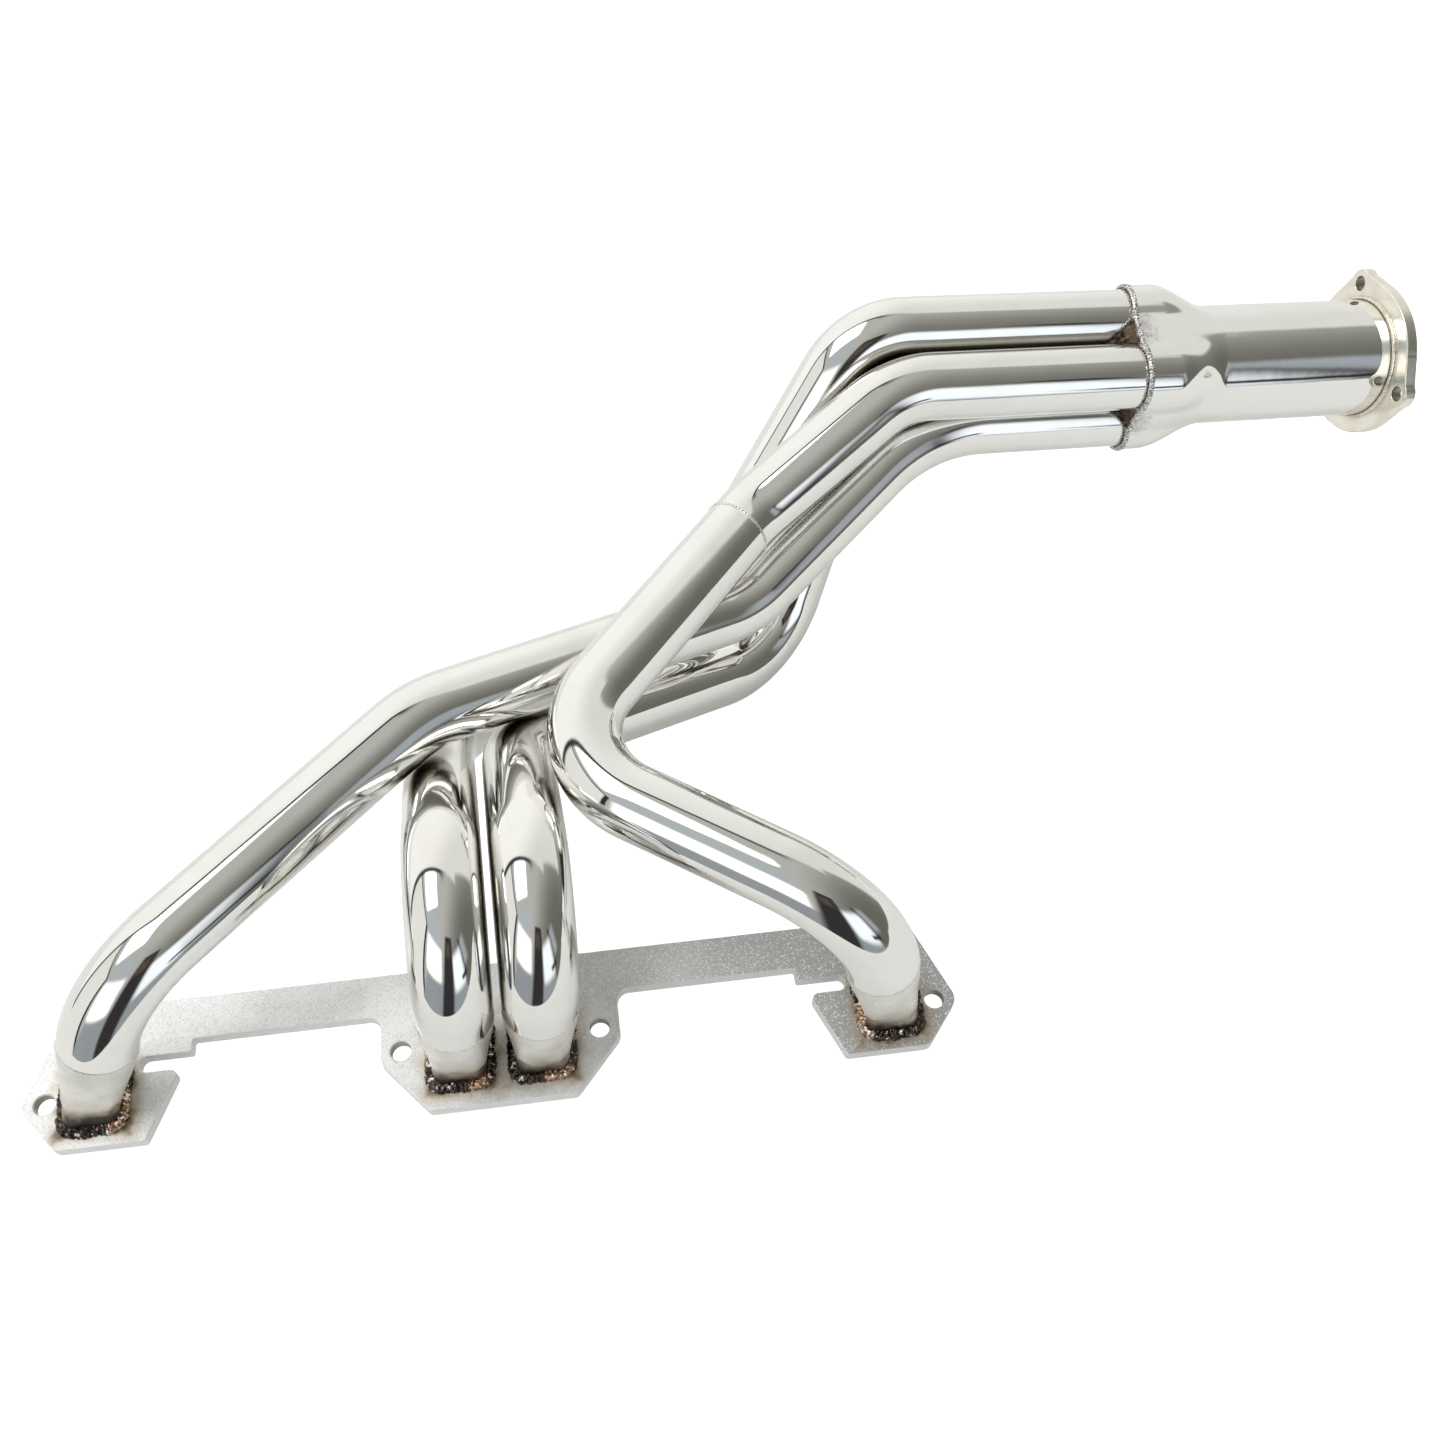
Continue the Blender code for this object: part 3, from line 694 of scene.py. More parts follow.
def polished_steel(nodes, place, smudge, ripple_depth):
    """Mirror-polished stainless: faint polishing lines round the tube, haze, specks, soot, and painted
    shade in crevices.
    """
    polish = nodes.noise(nodes.stretched(3.0, 900.0), 1.0, 2.0)
    streaks = nodes.noise(nodes.stretched(26.0, 9.0), 1.0)
    haze = nodes.noise(place, 22.0, 4.0, 0.6)
    specks = nodes.fade(nodes.cells(place, 42.0), 0.03, 0.055, 1.0, 0.0)
    rare = nodes.fade(nodes.noise(place, 16.0, 1.0), 0.66, 0.70)
    edge = nodes.plus(nodes.value("soot"), nodes.wobble(place, 330.0, 0.5))
    dusty = nodes.fade(edge, 0.10, 0.45)
    brown = nodes.fade(edge, 0.42, 0.66)
    base = nodes.paint(STEEL, STEEL_SMUDGED, haze, 0.42, 0.72, 0.0, 0.55 * smudge)
    base = nodes.paint(base, STEEL_SMUDGED, streaks, 0.5, 0.8, 0.0, 0.4 * smudge)
    base = nodes.mix(nodes.times(nodes.times(specks, rare), 0.7), base, SPECK)
    base = nodes.mix(nodes.times(dusty, 0.7), base, SOOT_GREY)
    base = nodes.mix(brown, base, SOOT_BROWN)
    base = nodes.paint(base, SOOT_BLACK, edge, 0.62, 0.95)
    # painted shade: the steel turns olive brown where nearby surfaces shut out the light
    base = nodes.mix(nodes.crevice(0.011, 0.25, 0.75, 0.8), base, CREVICE_SHADE)
    rough = nodes.fade(haze, 0.4, 0.75, 0.035, 0.085)
    rough = nodes.plus(rough, nodes.crevice(0.03, 0.3, 0.8, 0.14))
    for dirt in (dusty, brown):
        rough = nodes.plus(rough, nodes.times(dirt, 0.2))
    normal = nodes.bump(polish, 0.5, 0.000001)
    normal = nodes.bump(nodes.noise(place, 28.0, 1.0), 0.6, 0.00022, normal)
    if ripple_depth:
        normal = nodes.bump(nodes.noise(place, 95.0, 1.0), 0.8, ripple_depth, normal)
    return base, rough, nodes.bump(nodes.noise(place, 700.0), nodes.times(brown, 0.8), 0.0004, normal)


def satin_steel(nodes, place):
    """Satin stub: brushed grain, with a brown and blue-black heat tint just above the weld."""
    grain = nodes.noise(nodes.stretched(14.0, 2600.0), 1.0)
    cloud = nodes.noise(place, 60.0, 4.0, 0.6)
    height = nodes.plus(nodes.value("above_weld"), nodes.wobble(place, 42.0, 30.0, 4.0, 0.6))
    base = nodes.paint(SATIN, SATIN_DULL, cloud, 0.35, 0.7)
    for shade, full, end, strength in STUB_TINTS:
        base = nodes.paint(base, shade, height, full, end, strength, 0.0)
    normal = nodes.bump(nodes.noise(place, 45.0, 1.0), 0.7, 0.0005, nodes.bump(grain, 0.55, 0.000012))
    return base, nodes.fade(cloud, 0.3, 0.7, 0.27, 0.40), normal, SATIN_METALLIC


def seam_steel(nodes, place):
    """Butt seam: fine grain between dull and bright steel."""
    fine = nodes.noise(place, 900.0)
    base = nodes.paint(SEAM_DULL, SEAM_BRIGHT, fine, 0.35, 0.65)
    return base, nodes.fade(fine, 0.3, 0.7, 0.2, 0.42), nodes.bump(fine, 0.6, 0.00006)


def burnt_weld(nodes, place):
    """Fillet bead: black glassy scale with silver glints, and copper stretches."""
    fine = nodes.noise(place, 520.0, 4.0, 0.65)
    base = nodes.paint(SCALE_BLACK, SCALE_BROWN, fine, 0.4, 0.7)
    copper = nodes.paint(COPPER_DARK, COPPER, fine, 0.42, 0.6)
    share = nodes.plus(nodes.value("copper"), nodes.wobble(place, 190.0, 1.0, 3.0, 0.6))
    base = nodes.paint(base, copper, share, 0.5, 0.75)
    base = nodes.paint(base, GLINT, nodes.noise(place, 300.0, 2.0), 0.60, 0.66)
    normal = nodes.bump(nodes.noise(place, 330.0, 2.0), 0.9, 0.0012, nodes.bump(fine, 0.7, 0.0003))
    return base, nodes.fade(fine, 0.3, 0.7, 0.08, 0.22), normal


def bright_weld(nodes, place):
    """Collector bead: silver and speckled, brown and black in the valleys between tubes."""
    fine = nodes.noise(place, 700.0, 4.0, 0.7)
    edge = nodes.plus(nodes.value("soot"), nodes.wobble(place, 260.0, 0.4))
    base = nodes.paint(BEAD_PIT, BEAD_SILVER, fine, 0.42, 0.58)
    base = nodes.paint(base, WEB_BROWN, edge, 0.25, 0.55)
    blackened = nodes.paint(base, SOOT_BLACK, edge, 0.45, 0.75)
    base = nodes.paint(base, blackened, nodes.noise(place, 300.0), 0.42, 0.6)
    height = nodes.plus(fine, nodes.times(nodes.cells(place, 950.0), 0.5))
    return base, nodes.fade(fine, 0.3, 0.7, 0.14, 0.34), nodes.bump(height, 0.9, 0.0004)


def near_ports(nodes, place):
    """Distance in metres from the nearest port's edge, outwards in the plate's plane."""
    x, y, _ = nodes.parts(place)
    gap_y = nodes.beyond(y, PORT_Y * MM, STUB_HEIGHT / 2 * MM)
    near = None
    for port_x in PORTS.values():
        gap_x = nodes.beyond(x, port_x * MM, STUB_WIDTH / 2 * MM)
        reach = nodes.math("MAXIMUM", gap_x, gap_y)
        near = reach if near is None else nodes.math("SMOOTH_MIN", near, reach, 0.012)
    return near


def blasted_plate(nodes, place):
    """Grit-blasted steel plate: sparkling grain, tint near the welds, painted shade towards +X, and cut
    edges whose machined colour is partly a painted highlight.
    """
    grain = nodes.noise(place, 1700.0, 3.0, 0.65)
    sparkle = nodes.parts(nodes.cells(place, 1500.0, "Color"))[0]
    base = nodes.paint(PLATE_DULL, PLATE, nodes.noise(place, 30.0, 4.0, 0.55), 0.35, 0.68)
    # painted shade: the plate is painted darker grey towards +X, where the tubes keep light off it
    across = nodes.plus(nodes.parts(place)[0], nodes.wobble(place, 12.0, 0.1, 2.0))
    base = nodes.paint(base, PLATE_SHADE, across, -0.02, 0.22, 0.0, 0.85)
    base = nodes.paint(base, PLATE_BRIGHT, sparkle, 0.76, 0.98, 0.0, 0.8)
    base = nodes.paint(base, PLATE_GRIT, sparkle, 0.0, 0.30, 0.30, 0.0)
    near = nodes.plus(near_ports(nodes, place), nodes.wobble(place, 85.0, 0.016))
    base = nodes.paint(base, PLATE_TINT, near, 0.001, 0.013, 0.6, 0.0)
    base = nodes.paint(base, PLATE_BURNT, near, 0.0, 0.006, 0.85, 0.0)
    # the cut side faces get cut marks and a lighter colour, which is partly a painted highlight
    facing_up = nodes.parts(nodes.add("NewGeometry").outputs["Normal"])[2]
    upright = nodes.math("ABSOLUTE", facing_up)
    base = nodes.paint(base, PLATE_MACHINED_HIGHLIGHT, upright, 0.90, 0.985, 0.7, 0.0)
    cut = nodes.noise(nodes.vector("MULTIPLY", place, (1.0, 1.0, 0.08)), 1900.0, 2.0)
    marks = nodes.times(nodes.times(cut, nodes.fade(upright, 0.2, 0.6, 1.0, 0.0)), 1.4)
    normal = nodes.bump(nodes.plus(grain, marks), 0.7, 0.0002)
    return base, nodes.fade(grain, 0.3, 0.7, 0.40, 0.60), normal, PLATE_METALLIC


def champagne_steel(nodes, place):
    """Warm brushed flange steel, with turning marks round the collector's axis."""
    radial, depth = nodes.round_axis(place)
    rings = nodes.noise(nodes.joined(radial, depth), 2100.0, 2.0)
    cloud = nodes.noise(place, 70.0, 4.0, 0.6)
    base = nodes.paint(CHAMPAGNE, CHAMPAGNE_DULL, cloud, 0.35, 0.7)
    bore = OUTLET_RADIUS * MM
    base = nodes.paint(base, CHAMPAGNE_TINT, radial, bore + 0.001, bore + 0.006, 0.3, 0.0)
    normal = nodes.bump(nodes.noise(place, 420.0), 0.35, 0.00006, nodes.bump(rings, 0.4, 0.00002))
    return base, nodes.fade(cloud, 0.3, 0.7, 0.17, 0.30), normal


def gold_weld(nodes, place):
    """Ring weld: straw-coloured, with a dark line where it meets the collector."""
    fine = nodes.noise(place, 480.0, 4.0, 0.6)
    base = nodes.paint(GOLD_DULL, GOLD, fine, 0.35, 0.65)
    radial, _ = nodes.round_axis(place)
    foot = OUTLET_RADIUS * MM
    base = nodes.paint(base, WEB_BROWN, radial, foot + 0.0004, foot + 0.0010, 0.85, 0.0)
    return base, nodes.fade(fine, 0.3, 0.7, 0.18, 0.34), nodes.bump(fine, 0.4, 0.0001)


def raw_inside(nodes, place):
    """Unpolished bore: dull scaled steel with a brown cast."""
    fine = nodes.noise(place, 800.0)
    base = nodes.paint(RAW, RAW_BROWN, nodes.noise(place, 90.0, 5.0, 0.6), 0.35, 0.68)
    return base, nodes.fade(fine, 0.3, 0.7, 0.38, 0.58), nodes.bump(fine, 0.5, 0.00012)


# ---- pieces

def head_flange(materials):
    mirrored = [(-x, y, radius) for x, y, radius in reversed(PLATE_HALF_OUTLINE)]
    outlines = [rounded_outline(PLATE_HALF_OUTLINE + mirrored, PLATE_ARC_STEP)]
    outlines += [port_outline(number, TUBE_WALL, PLATE_ARC_STEP) for number in PORTS]
    bolts = [(side * x, y) for side in (-1, 1) for x, y in (OUTER_BOLT, INNER_BOLT)]
    outlines += [polar_outline([BOLT_RADIUS] * BOLT_SIDES, bolt) for bolt in bolts]
    rims = [PLATE_RIM] + [PORT_RIM] * len(PORTS) + [BOLT_RIM] * len(bolts)
    mesh = plate_mesh(outlines, rims, PLATE_THICK)
    add_piece("head_flange", "blasted", mesh, materials, flat=True)


def box_reach(angles, inset):
    """Distance from the middle of a stub's foot to its wall, set in from its outside."""
    half_w = STUB_WIDTH / 2 - inset
    half_h = STUB_HEIGHT / 2 - inset
    corner = STUB_CORNER - inset
    c = np.abs(np.cos(angles))
    s = np.abs(np.sin(angles))
    inner_w = half_w - corner
    inner_h = half_h - corner
    reach = np.where(c * half_h > s * half_w, half_w / np.maximum(c, 1e-9), half_h / np.maximum(s, 1e-9))
    along = inner_w * c + inner_h * s
    off = inner_w ** 2 + inner_h ** 2 - corner ** 2
    arc = along + np.sqrt(np.maximum(along ** 2 - off, 0.0))
    return np.where((c * reach > inner_w) & (s * reach > inner_h), arc, reach)


def stub_dent(angles, along):
    """Depth of the forming marks on a stub's two front corners."""
    corner = atan2(STUB_HEIGHT, STUB_WIDTH)
    reach = hypot(STUB_WIDTH, STUB_HEIGHT) / 2
    up = (along - STUB_DENT_HEIGHT) / STUB_DENT_REACH
    depth = np.zeros(len(angles))
    for middle in (-corner, corner - pi):
        aside = off_nearest(angles, tau, middle) * reach / STUB_DENT_REACH
        depth += STUB_DENT * np.exp(-up ** 2 - aside ** 2)
    return depth


def port_stub(number, materials):
    """Loft from the rounded rectangle at the flange to the round end under the seam."""
    path, _ = centreline(number)
    foot = path[0]
    lean = (path[1] - foot).normalized()
    upright = Vector((0, 0, 1))
    straight = GAP + STUB_FOOT
    angles = angles_round(STUB_SIDES)
    travelled = np.linspace(0.0, straight + STUB_LENGTH, STUB_STATIONS)
    walls = ([], [])
    for along in travelled:
        centre = foot + (upright if along < straight else lean) * (along - straight)
        loft = max(0.0, (along - straight) / STUB_LENGTH)
        blend = smooth_step(loft)
        heading = upright.lerp(lean, min(loft * 2, 1.0)).normalized()
        first = (Vector((1, 0, 0)) - heading * heading.x).normalized()
        second = heading.cross(first)
        spokes = np.outer(np.cos(angles), first) + np.outer(np.sin(angles), second)
        for wall, inset in zip(walls, (0.0, TUBE_WALL)):
            radii = box_reach(angles, inset) * (1 - blend) + (TUBE_RADIUS - inset) * blend
            wall.append(np.array(centre) + (radii - stub_dent(angles, along))[:, None] * spokes)
    mesh = shell_mesh(np.array(walls[0]), np.array(walls[1]), travelled)
    add_values(mesh, "above_weld", np.tile(np.repeat(travelled, STUB_SIDES), 2))
    add_piece(f"port_stub_{number}", "satin", mesh, materials)


def ripple(phase):
    """Rounded saw-tooth from 0 to 1, one crescent of weld metal for each whole phase."""
    return np.sin(pi * (phase % 1.0) ** 0.7)


def lumps(places, scale, seed):
    """Smooth noise from -1 to 1 at each place in millimetres."""
    shift = Vector((17.3, 5.1, 9.7)) * seed
    return np.array([noise.noise(Vector(place) * scale + shift) for place in places])


def fillet_mesh(base, across, up, reach, turns, travelled):
    """Bead in the corner of two faces. Across and up lead out of the corner along them."""
    arc = (base[:, None] + (reach * np.sin(turns))[..., None] * across[:, None]
           + (reach * np.cos(turns))[..., None] * up[:, None])
    buried = base - (across + up) * BURIED
    return loop_mesh(np.concatenate([arc, buried[:, None]], axis=1), travelled)


def fillet_weld(number, materials):
    """Rippled fillet between a stub's foot and the plate."""
    outline = path_array(port_outline(number, 0.0, FILLET_ARC_STEP))
    path, travelled = even_steps(np.concatenate([outline, outline[:1]]), FILLET_STEP)
    path = path[:-1]
    travelled = travelled[:-1]
    outwards = -turned_left(path)
    outwards /= lengths(outwards)[:, None]
    flat = np.zeros((len(path), 1))
    base = np.hstack([path, flat + PLATE_THICK])
    turns = np.linspace(*FILLET_TURN[::-1], FILLET_POINTS)
    leg = FILLET_LEG * (1 + 0.20 * lumps(base, 0.16, number) + 0.12 * lumps(base, 0.45, number + 9))
    phase = travelled[:, None] / FILLET_PITCH + 0.45 * np.sin(turns * 2)
    bulge = 0.82 + 0.17 * ripple(phase + number * 0.37) + 0.05 * np.sin(turns * 2)
    upwards = np.tile([0.0, 0.0, 1.0], (len(path), 1))
    mesh = fillet_mesh(base, np.hstack([outwards, flat]), upwards, leg[:, None] * bulge, turns, travelled)
    add_values(mesh, "copper", np.repeat(copper_share(path, number), FILLET_POINTS + 1))
    add_piece(f"flange_weld_{number}", "bead", mesh, materials, 60.0)


def copper_share(path, number):
    """How copper-coloured a fillet is at each place round its port."""
    around = np.degrees(np.arctan2(path[:, 1] - PORT_Y, path[:, 0] - PORTS[number]))
    share = np.zeros(len(path))
    for middle, half in COPPER_SPANS[number]:
        off = np.abs(off_nearest(around, 360.0, middle))
        share = np.maximum(share, smooth_step((half - off) / COPPER_EDGE + 0.5))
    return share


def soot(points, own):
    """How sooty a tube's surface is near the collector's mouth, in the valleys between tubes."""
    axis = np.array(AXIS)
    local = points - np.array(CLUSTER_POINT)
    stations = local @ axis
    level = local - np.outer(stations, axis)
    near = np.min([lengths(level - np.array(slot) * CLUSTER_RADIUS)
                   for number, slot in SLOTS.items() if number != own], axis=0) - TUBE_RADIUS
    around = np.arctan2(local @ np.array(TOP), local @ np.array(FRONT))
    before = mouth_stations(around) - stations
    return smooth_step(1 - near / SOOT_WIDTH) * smooth_step(1 - before / SOOT_LENGTH) * (before > -2)


def tube_piece(node, points, number, materials):
    path, travelled = even_steps(path_array(points), RING_STEP)
    spokes = ring_spokes(path, TUBE_SIDES)
    outer = path[:, None] + spokes * TUBE_RADIUS
    mesh = shell_mesh(outer, path[:, None] + spokes * (TUBE_RADIUS - TUBE_WALL), travelled)
    add_values(mesh, "soot", np.tile(soot(outer.reshape(-1, 3), number), 2))
    add_piece(node, "polished", mesh, materials)


def seam_piece(node, centre, heading, crown, materials):
    """Butt seam between two tube ends, with a low rippled crown."""
    offsets = np.linspace(-JOINT / 2, JOINT / 2, SEAM_ROWS)
    path = path_array([centre + heading * offset for offset in offsets])
    wave = 1 + 0.5 * np.sin(angles_round(SEAM_SIDES) * SEAM_RIPPLES)
    radii = TUBE_RADIUS + crown * np.cos(pi * offsets / JOINT)[:, None] * wave
    spokes = ring_spokes(path, SEAM_SIDES)
    inner = path[:, None] + spokes * (TUBE_RADIUS - TUBE_WALL)
    mesh = shell_mesh(path[:, None] + spokes * radii[..., None], inner, offsets + JOINT / 2)
    add_piece(node, "bead", mesh, materials)


def primary_tube(number, polished, seam):
    """Seam above the stub and the tube beyond it, or two tubes with another seam between them."""
    path, starts = centreline(number)
    lean = (path[1] - path[0]).normalized()
    end = path[0] + lean * STUB_LENGTH
    seam_piece(f"seam_weld_{number}", end + lean * (JOINT / 2), lean, SEAM_CROWN, seam)
    run = [end + lean * JOINT] + path[1:]
    node = f"primary_tube_{number}"
    if number != SPLIT_TUBE:
        tube_piece(node, run, number, polished)
        return
    bend = starts[SPLIT_BEND]
    heading = (run[bend] - run[bend - 1]).normalized()
    middle = run[bend] - heading * MID_SEAM_BEFORE_BEND
    tube_piece(node + "_lower", run[:bend] + [middle - heading * (JOINT / 2)], number, polished)
    tube_piece(node + "_upper", [middle + heading * (JOINT / 2)] + run[bend:], number, polished)
    seam_piece(f"seam_weld_{number}_mid", middle, heading, MID_SEAM_CROWN, seam)


def collector_radii(stations, angles, offset):
    """Collector section radii at each station and angle, offset outwards from the inner face."""
    blend = smooth_step((stations - CLOVER_END_AT) / (CONE_END_AT - CLOVER_END_AT))
    clover = clover_radius(angles, TUBE_RADIUS + MOUTH_CLEARANCE + offset, VALLEY_RADIUS + offset,
                           VALLEY_SOFTNESS)
    return clover * (1 - blend) + (OUTLET_RADIUS - COLLECTOR_WALL + offset) * blend


def collector(materials):
    """Four-lobed mouth with a slanting edge, a cone, and a round outlet."""
    end = FLANGE_AT + OUTLET_FLANGE_THICK - COLLECTOR_SHORT_OF_FACE
    stations = np.concatenate([np.linspace(CLOVER_END_AT, CONE_END_AT, CONE_ROWS),
                               np.linspace(CONE_END_AT, end, PIPE_ROWS)[1:]])
    angles = angles_round(COLLECTOR_SIDES)
    mouth = mouth_stations(angles)
    shares = np.linspace(0.0, 1.0, MOUTH_ROWS, endpoint=False)[:, None]
    slanted = mouth * (1 - shares) + CLOVER_END_AT * shares
    places = np.concatenate([slanted, np.tile(stations[:, None], len(angles))])
    around = np.tile(angles, (len(places), 1))
    outer, inner = [to_row(places, collector_radii(places, angles, offset), around)
                    for offset in (COLLECTOR_WALL, 0.0)]
    mesh = shell_mesh(outer, inner, places[:, 0] - places[0, 0])
    valley = smooth_step(np.abs(np.sin(2 * angles)) * 3 - 2)
    tint = COLLECTOR_TINT * smooth_step(1 - (places - mouth) / SOOT_LENGTH) * valley
    add_values(mesh, "soot", np.tile(tint.ravel(), 2))
    add_piece("collector", "polished", mesh, materials)


def mouth_weld(materials):
    """Rippled bead round the collector's mouth, with sooty webs in the valleys between tubes."""
    angles = angles_round(MOUTH_BEAD_PLACES)
    rim = clover_radius(angles, TUBE_RADIUS + COLLECTOR_WALL, VALLEY_RADIUS + 0.6, VALLEY_SOFTNESS)
    tubes = clover_radius(angles, TUBE_RADIUS - 0.5, MOUTH_WEB_BOTTOM, 0.5)[:, None]
    mouth = mouth_stations(angles) - MOUTH_BEAD_BACK
    path = to_row(mouth, rim, angles)
    travelled = np.append(0.0, np.cumsum(lengths(np.diff(path, axis=0))))
    rim = rim[:, None]
    mouth = mouth[:, None]
    turns = np.linspace(*MOUTH_BEAD_TURN, MOUTH_BEAD_POINTS)
    phase = travelled[:, None] / MOUTH_BEAD_PITCH + 0.35 * np.cos(turns) ** 2
    size = 1 + 0.14 * lumps(path, 0.22, 31) + 0.08 * lumps(path, 0.8, 37)
    radii = MOUTH_BEAD_RADIUS * size[:, None] * (0.90 + 0.16 * ripple(phase))
    bead_out = rim + radii * np.sin(turns) * MOUTH_BEAD_HEIGHT
    bead_along = mouth + radii * np.cos(turns) * MOUTH_BEAD_WIDTH
    # the web leaves the bead's upstream side and runs down and back onto the tubes
    shares = np.linspace(0.0, 1.0, MOUTH_WEB_POINTS + 1)[1:]
    start = bead_out[:, -1:]
    bottom = np.minimum(tubes, start - 0.3)
    drop = start - bottom
    rough = 1 + 0.5 * lumps(path, 0.35, 41)[:, None] * shares * (1 - shares)
    web_along = bead_along[:, -1:] - drop * MOUTH_WEB_SLOPE * shares ** MOUTH_WEB_CURVE * rough
    out = np.hstack([bead_out, start - drop * shares, bottom, np.minimum(rim - 1.0, start - 0.2)])
    along = np.hstack([bead_along, web_along, mouth + 1.0, mouth + 1.6])
    mesh = loop_mesh(to_row(along, out, np.broadcast_to(angles[:, None], out.shape)), travelled)
    depth = smooth_step(drop / 5.0)
    dark = np.hstack([depth * 0.25 * np.linspace(0, 1, MOUTH_BEAD_POINTS) ** 3,
                      depth * (0.45 + 0.55 * shares), depth, depth])
    add_values(mesh, "soot", dark)
    add_piece("collector_weld", "bead", mesh, materials, 50.0)


def merge_plug(materials):
    """Four-pointed plate that closes the gap in the middle of the tube ends."""
    off = off_nearest(angles_round(PLUG_SIDES), pi / 2)
    side = CLUSTER_RADIUS * np.sin(off)
    clear = TUBE_RADIUS + GAP
    near = CLUSTER_RADIUS * np.cos(off) - np.sqrt(np.maximum(clear ** 2 - side ** 2, 0.0))
    outline = polar_outline(np.minimum(near, PLUG_REACH))
    mesh = plate_mesh([outline], [PLUG_RIM], PLUG_THICK, -PLUG_THICK / 2)
    mesh.transform(across_axis(TUBES_END_AT - PLUG_BEHIND_ENDS - PLUG_THICK / 2))
    add_piece("merge_plug", "satin", mesh, materials, flat=True)


def outlet_flange(materials):
    """Three-bolt flange: a disc with a rounded lobe round each bolt and straight flanks."""
    third = tau / OUTLET_BOLTS
    off = np.abs(off_nearest(angles_round(OUTLET_FLANGE_SIDES), third, OUTLET_FIRST_BOLT))
    side = OUTLET_BOLT_CIRCLE * np.sin(off)
    lobe = OUTLET_BOLT_CIRCLE * np.cos(off) + np.sqrt(np.maximum(OUTLET_LOBE_RADIUS ** 2 - side ** 2, 0.0))
    radii = np.maximum(OUTLET_FLANGE_RADIUS, lobe)
    tip = OUTLET_BOLT_CIRCLE + OUTLET_LOBE_RADIUS
    flank = np.minimum(tip, tip * cos(OUTLET_LOBE_SPAN) / np.cos(off - OUTLET_LOBE_SPAN))
    radii = np.where(off < OUTLET_LOBE_SPAN, np.maximum(radii, flank), radii)
    outlines = [polar_outline(radii), polar_outline([OUTLET_RADIUS + GAP] * OUTLET_BORE_SIDES)]
    rims = [OUTLET_RIM, OUTLET_BORE_RIM] + [OUTLET_BOLT_RIM] * OUTLET_BOLTS
    for k in range(OUTLET_BOLTS):
        angle = OUTLET_FIRST_BOLT + third * k
        place = (OUTLET_BOLT_CIRCLE * cos(angle), OUTLET_BOLT_CIRCLE * sin(angle))
        outlines.append(polar_outline([OUTLET_BOLT_RADIUS] * OUTLET_BOLT_SIDES, place))
    mesh = plate_mesh(outlines, rims, OUTLET_FLANGE_THICK)
    mesh.transform(across_axis(FLANGE_AT))
    add_piece("collector_flange", "brushed", mesh, materials, flat=True)


def outlet_weld(materials):
    """Fillet ring between the collector's tube and its flange."""
    angles = angles_round(RING_WELD_PLACES)
    upstream = np.tile(-np.array(AXIS), (RING_WELD_PLACES, 1))
    outwards = axis_outwards(angles)
    base = np.array(CLUSTER_POINT + AXIS * FLANGE_AT) + outwards * OUTLET_RADIUS
    travelled = angles * OUTLET_RADIUS
    turns = np.linspace(*FILLET_TURN, RING_WELD_POINTS)
    phase = travelled[:, None] / RING_WELD_PITCH + 0.4 * np.sin(turns * 2)
    reach = RING_WELD_LEG * (0.95 + 0.04 * ripple(phase)) * (1 + 0.05 * lumps(base, 0.2, 53))[:, None]
    mesh = fillet_mesh(base, upstream, outwards, reach, turns, travelled)
    add_piece("collector_flange_weld", "bead", mesh, materials, 60.0)


# ---- stage

def facing(azimuth, elevation, roll=0.0):
    """Unit vectors ahead, to the right and up for a view that way. Azimuth 0 is towards +Y."""
    ahead = Vector((sin(azimuth) * cos(elevation), cos(azimuth) * cos(elevation), sin(elevation)))
    level = Vector((cos(azimuth), -sin(azimuth), 0.0))
    lift = level.cross(ahead)
    return ahead, level * cos(roll) + lift * sin(roll), lift * cos(roll) - level * sin(roll)


def add_camera():
    ahead, right, up = facing(CAMERA_AZIMUTH, CAMERA_ELEVATION, CAMERA_ROLL)
    data = bpy.data.cameras.new("camera")
    data.sensor_width = SENSOR
    data.lens = LENS
    camera = linked_object("camera", data)
    camera.matrix_world = placement(Vector(CAMERA_PLACE), right, up, -ahead)
    bpy.context.scene.camera = camera


def card(nodes, direction, behind, shade, low, high, soft, tilt=0.0):
    """Adds a soft-edged rectangle in front of what is behind it."""
    elevation = radians((low[1] + high[1]) / 2)
    centre, across, lift = facing(radians((low[0] + high[0]) / 2), elevation, radians(tilt))
    ahead = nodes.vector("DOT_PRODUCT", direction, tuple(centre))
    safe = nodes.math("MAXIMUM", ahead, 0.05)
    mask = nodes.fade(ahead, 0.05, 0.1)
    half = (tan(radians(high[0] - low[0]) / 2) * cos(elevation), tan(radians(high[1] - low[1]) / 2))
    for axis, size in zip((across, lift), half):
        off = nodes.math("DIVIDE", nodes.vector("DOT_PRODUCT", direction, tuple(axis)), safe)
        side = nodes.fade(nodes.math("ABSOLUTE", off), size - soft, size + soft, 1.0, 0.0)
        mask = nodes.times(mask, side)
    return nodes.mix(mask, behind, shade)


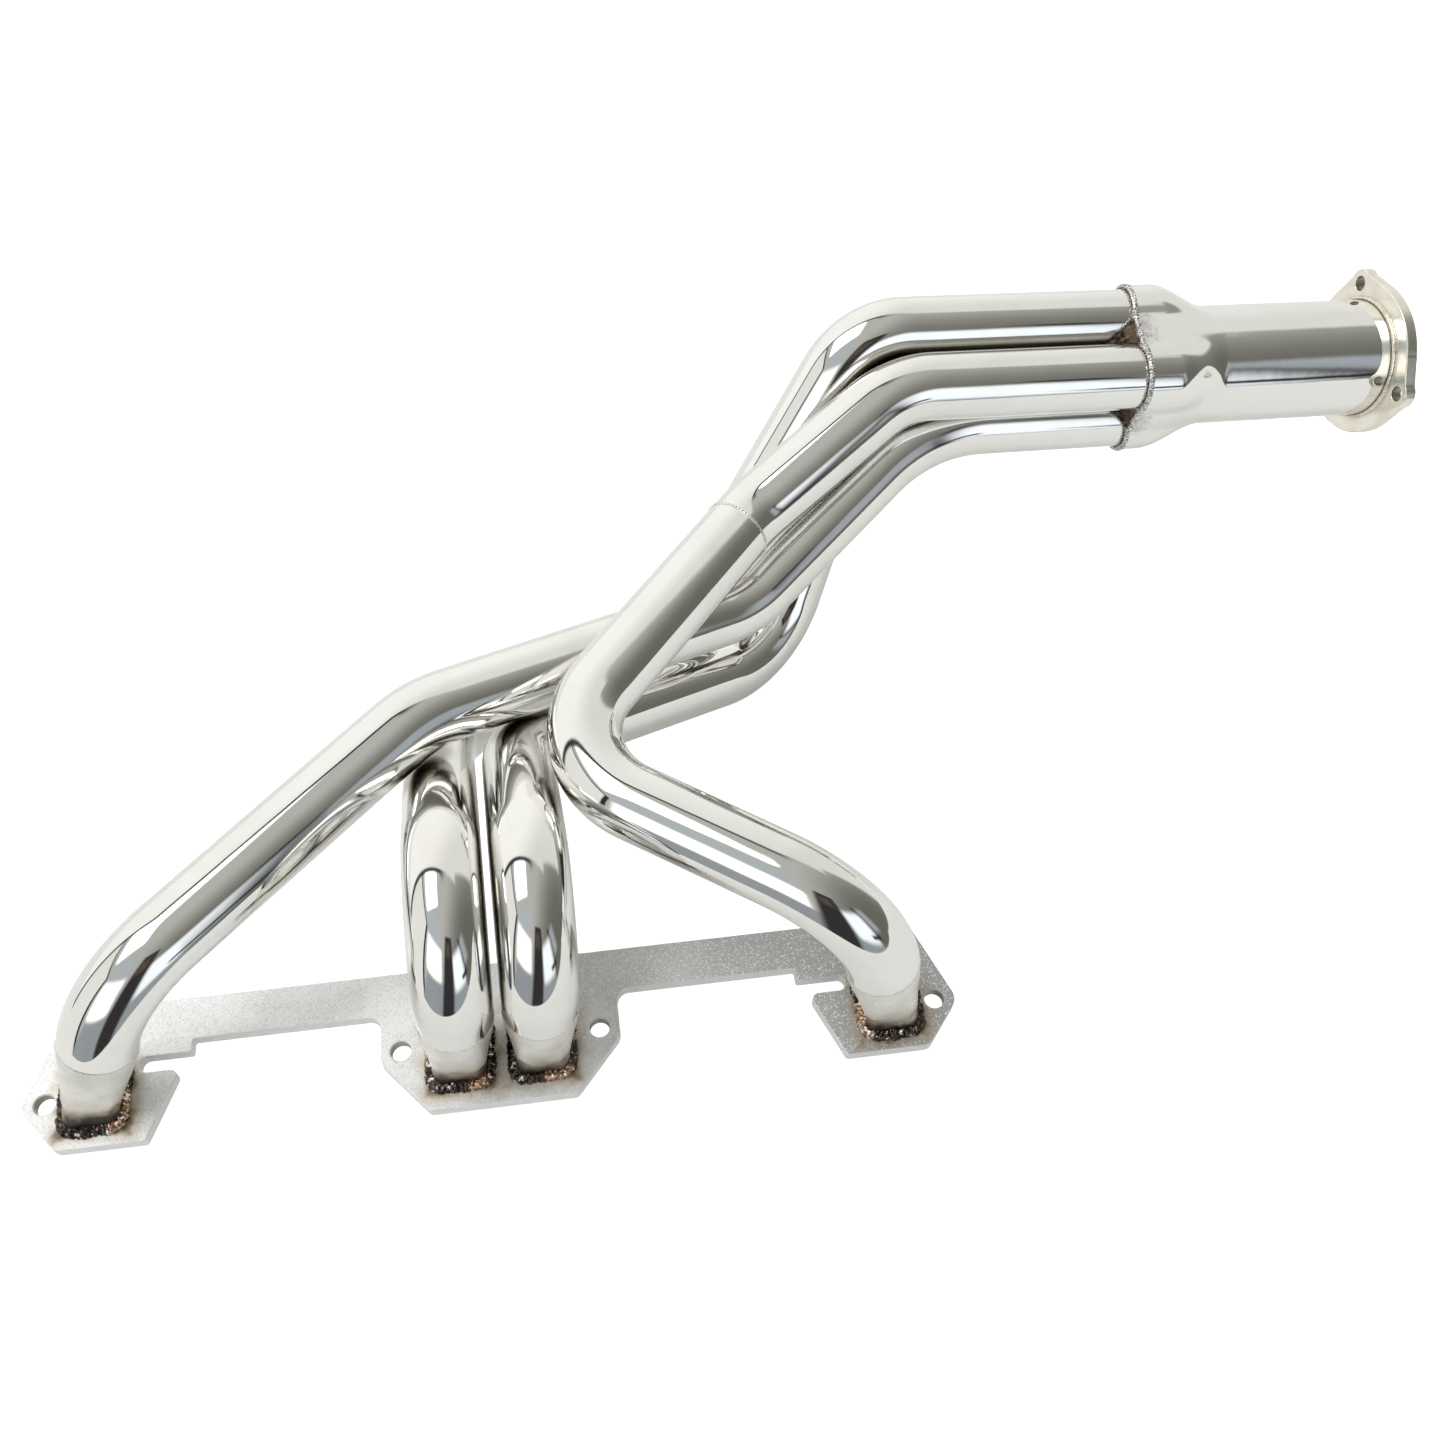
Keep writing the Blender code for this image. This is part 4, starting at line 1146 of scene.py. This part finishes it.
def add_studio():
    """World: plain white to the camera, and a soft light tent to everything else."""
    world = bpy.data.worlds.new("light_tent")
    bpy.context.scene.world = world
    world.use_nodes = True
    nodes = Nodes(world.node_tree)
    direction = nodes.add("TexCoord").outputs["Generated"]

    def towards(azimuth, elevation=0.0):
        return nodes.vector("DOT_PRODUCT", direction, tuple(facing(azimuth, elevation)[0]))

    tent = nodes.paint(CEILING, RIGHT_DARK, towards(DARK_AZIMUTH, DARK_ELEVATION), 0.2, 1.0)
    for each in CARDS:
        tent = card(nodes, direction, tent, *each)
    # the backdrop fills everything under a straight top edge, sharp and dark-lined at the left
    height = nodes.parts(direction)[2]
    under = nodes.minus(nodes.times(towards(BACKDROP_AZIMUTH), BACKDROP_SLOPE), height)
    leftward = towards(BRIGHT_AZIMUTH)
    rise = nodes.math("DIVIDE", under, nodes.fade(leftward, -0.05, 0.25, 0.15, 0.05))
    line = nodes.times(nodes.fade(rise, -5.5, -3.0), nodes.fade(leftward, -0.05, 0.25))
    lined = nodes.mix(line, tent, FRAME_DARK)
    glow = nodes.paint(BACKDROP_RIGHT, BACKDROP, leftward, 0.0, 0.75)
    backed = nodes.paint(lined, glow, rise, -1.2, 1.0)
    tent = card(nodes, direction, backed, tent, *RIGHT_END)
    seen = nodes.add("LightPath").outputs["Is Camera Ray"]
    nodes.give(world.node_tree.nodes["Background"].inputs[0], nodes.mix(seen, tent, WHITE))


def pale_floor(nodes, place):
    """Matt floor that glows evenly. Reflections see it end at the table's front edge."""
    tree = nodes.tree.nodes
    rays = nodes.add("LightPath").outputs
    glow = nodes.fade(rays["Is Camera Ray"], 0.0, 1.0, FLOOR_GLOW_REFLECTED, FLOOR_GLOW)
    shader = tree["Principled BSDF"]
    nodes.give(shader.inputs["Emission Color"], FLOOR_GLOW_COLOUR)
    nodes.give(shader.inputs["Emission Strength"], glow)
    x, y, _ = nodes.parts(place)
    edge = nodes.plus(nodes.times(x, TABLE_EDGE_SLOPE), TABLE_EDGE_Y * MM)
    hidden = nodes.times(nodes.math("LESS_THAN", y, edge), rays["Is Glossy Ray"])
    clear = nodes.add("BsdfTransparent").outputs[0]
    mixer = nodes.add("MixShader", {0: hidden, 1: shader.outputs[0], 2: clear})
    nodes.give(tree["Material Output"].inputs["Surface"], mixer.outputs[0])
    base = nodes.mix(nodes.noise(place, 900.0, 2.0), FLOOR_PALE, FLOOR_PALER)
    return base, FLOOR_ROUGH, (0.0, 0.0, 0.0), 0.0


def add_floor():
    """Floor just under the object."""
    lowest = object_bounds()[0].z - FLOOR_DROP * MM
    reach = FLOOR_REACH * MM
    corners = [(x * reach, y * reach, lowest) for x, y in ((-1, -1), (1, -1), (1, 1), (-1, 1))]
    mesh = bpy.data.meshes.new("floor")
    mesh.from_pydata(corners, [], [(0, 1, 2, 3)])
    mesh.materials.append(material("pale_floor", pale_floor))
    linked_object("floor", mesh)


def main():
    bpy.context.scene.view_settings.view_transform = "Standard"
    inside = material("raw_inside", raw_inside)
    polished = [material("polished_steel", polished_steel, 1.0, 0.0), inside]
    seam = [material("seam_steel", seam_steel), inside]
    satin = material("satin_steel", satin_steel)
    bead = material("burnt_weld", burnt_weld)
    head_flange([material("blasted_plate", blasted_plate), inside])
    for number in PORTS:
        port_stub(number, [satin, inside])
        fillet_weld(number, [bead])
        primary_tube(number, polished, seam)
    collector([material("polished_collector", polished_steel, 0.6, 0.00005), inside])
    mouth_weld([material("bright_weld", bright_weld)])
    merge_plug([satin])
    outlet_flange([material("champagne_steel", champagne_steel), inside])
    outlet_weld([material("gold_weld", gold_weld)])
    add_studio()
    add_floor()
    add_camera()


main()
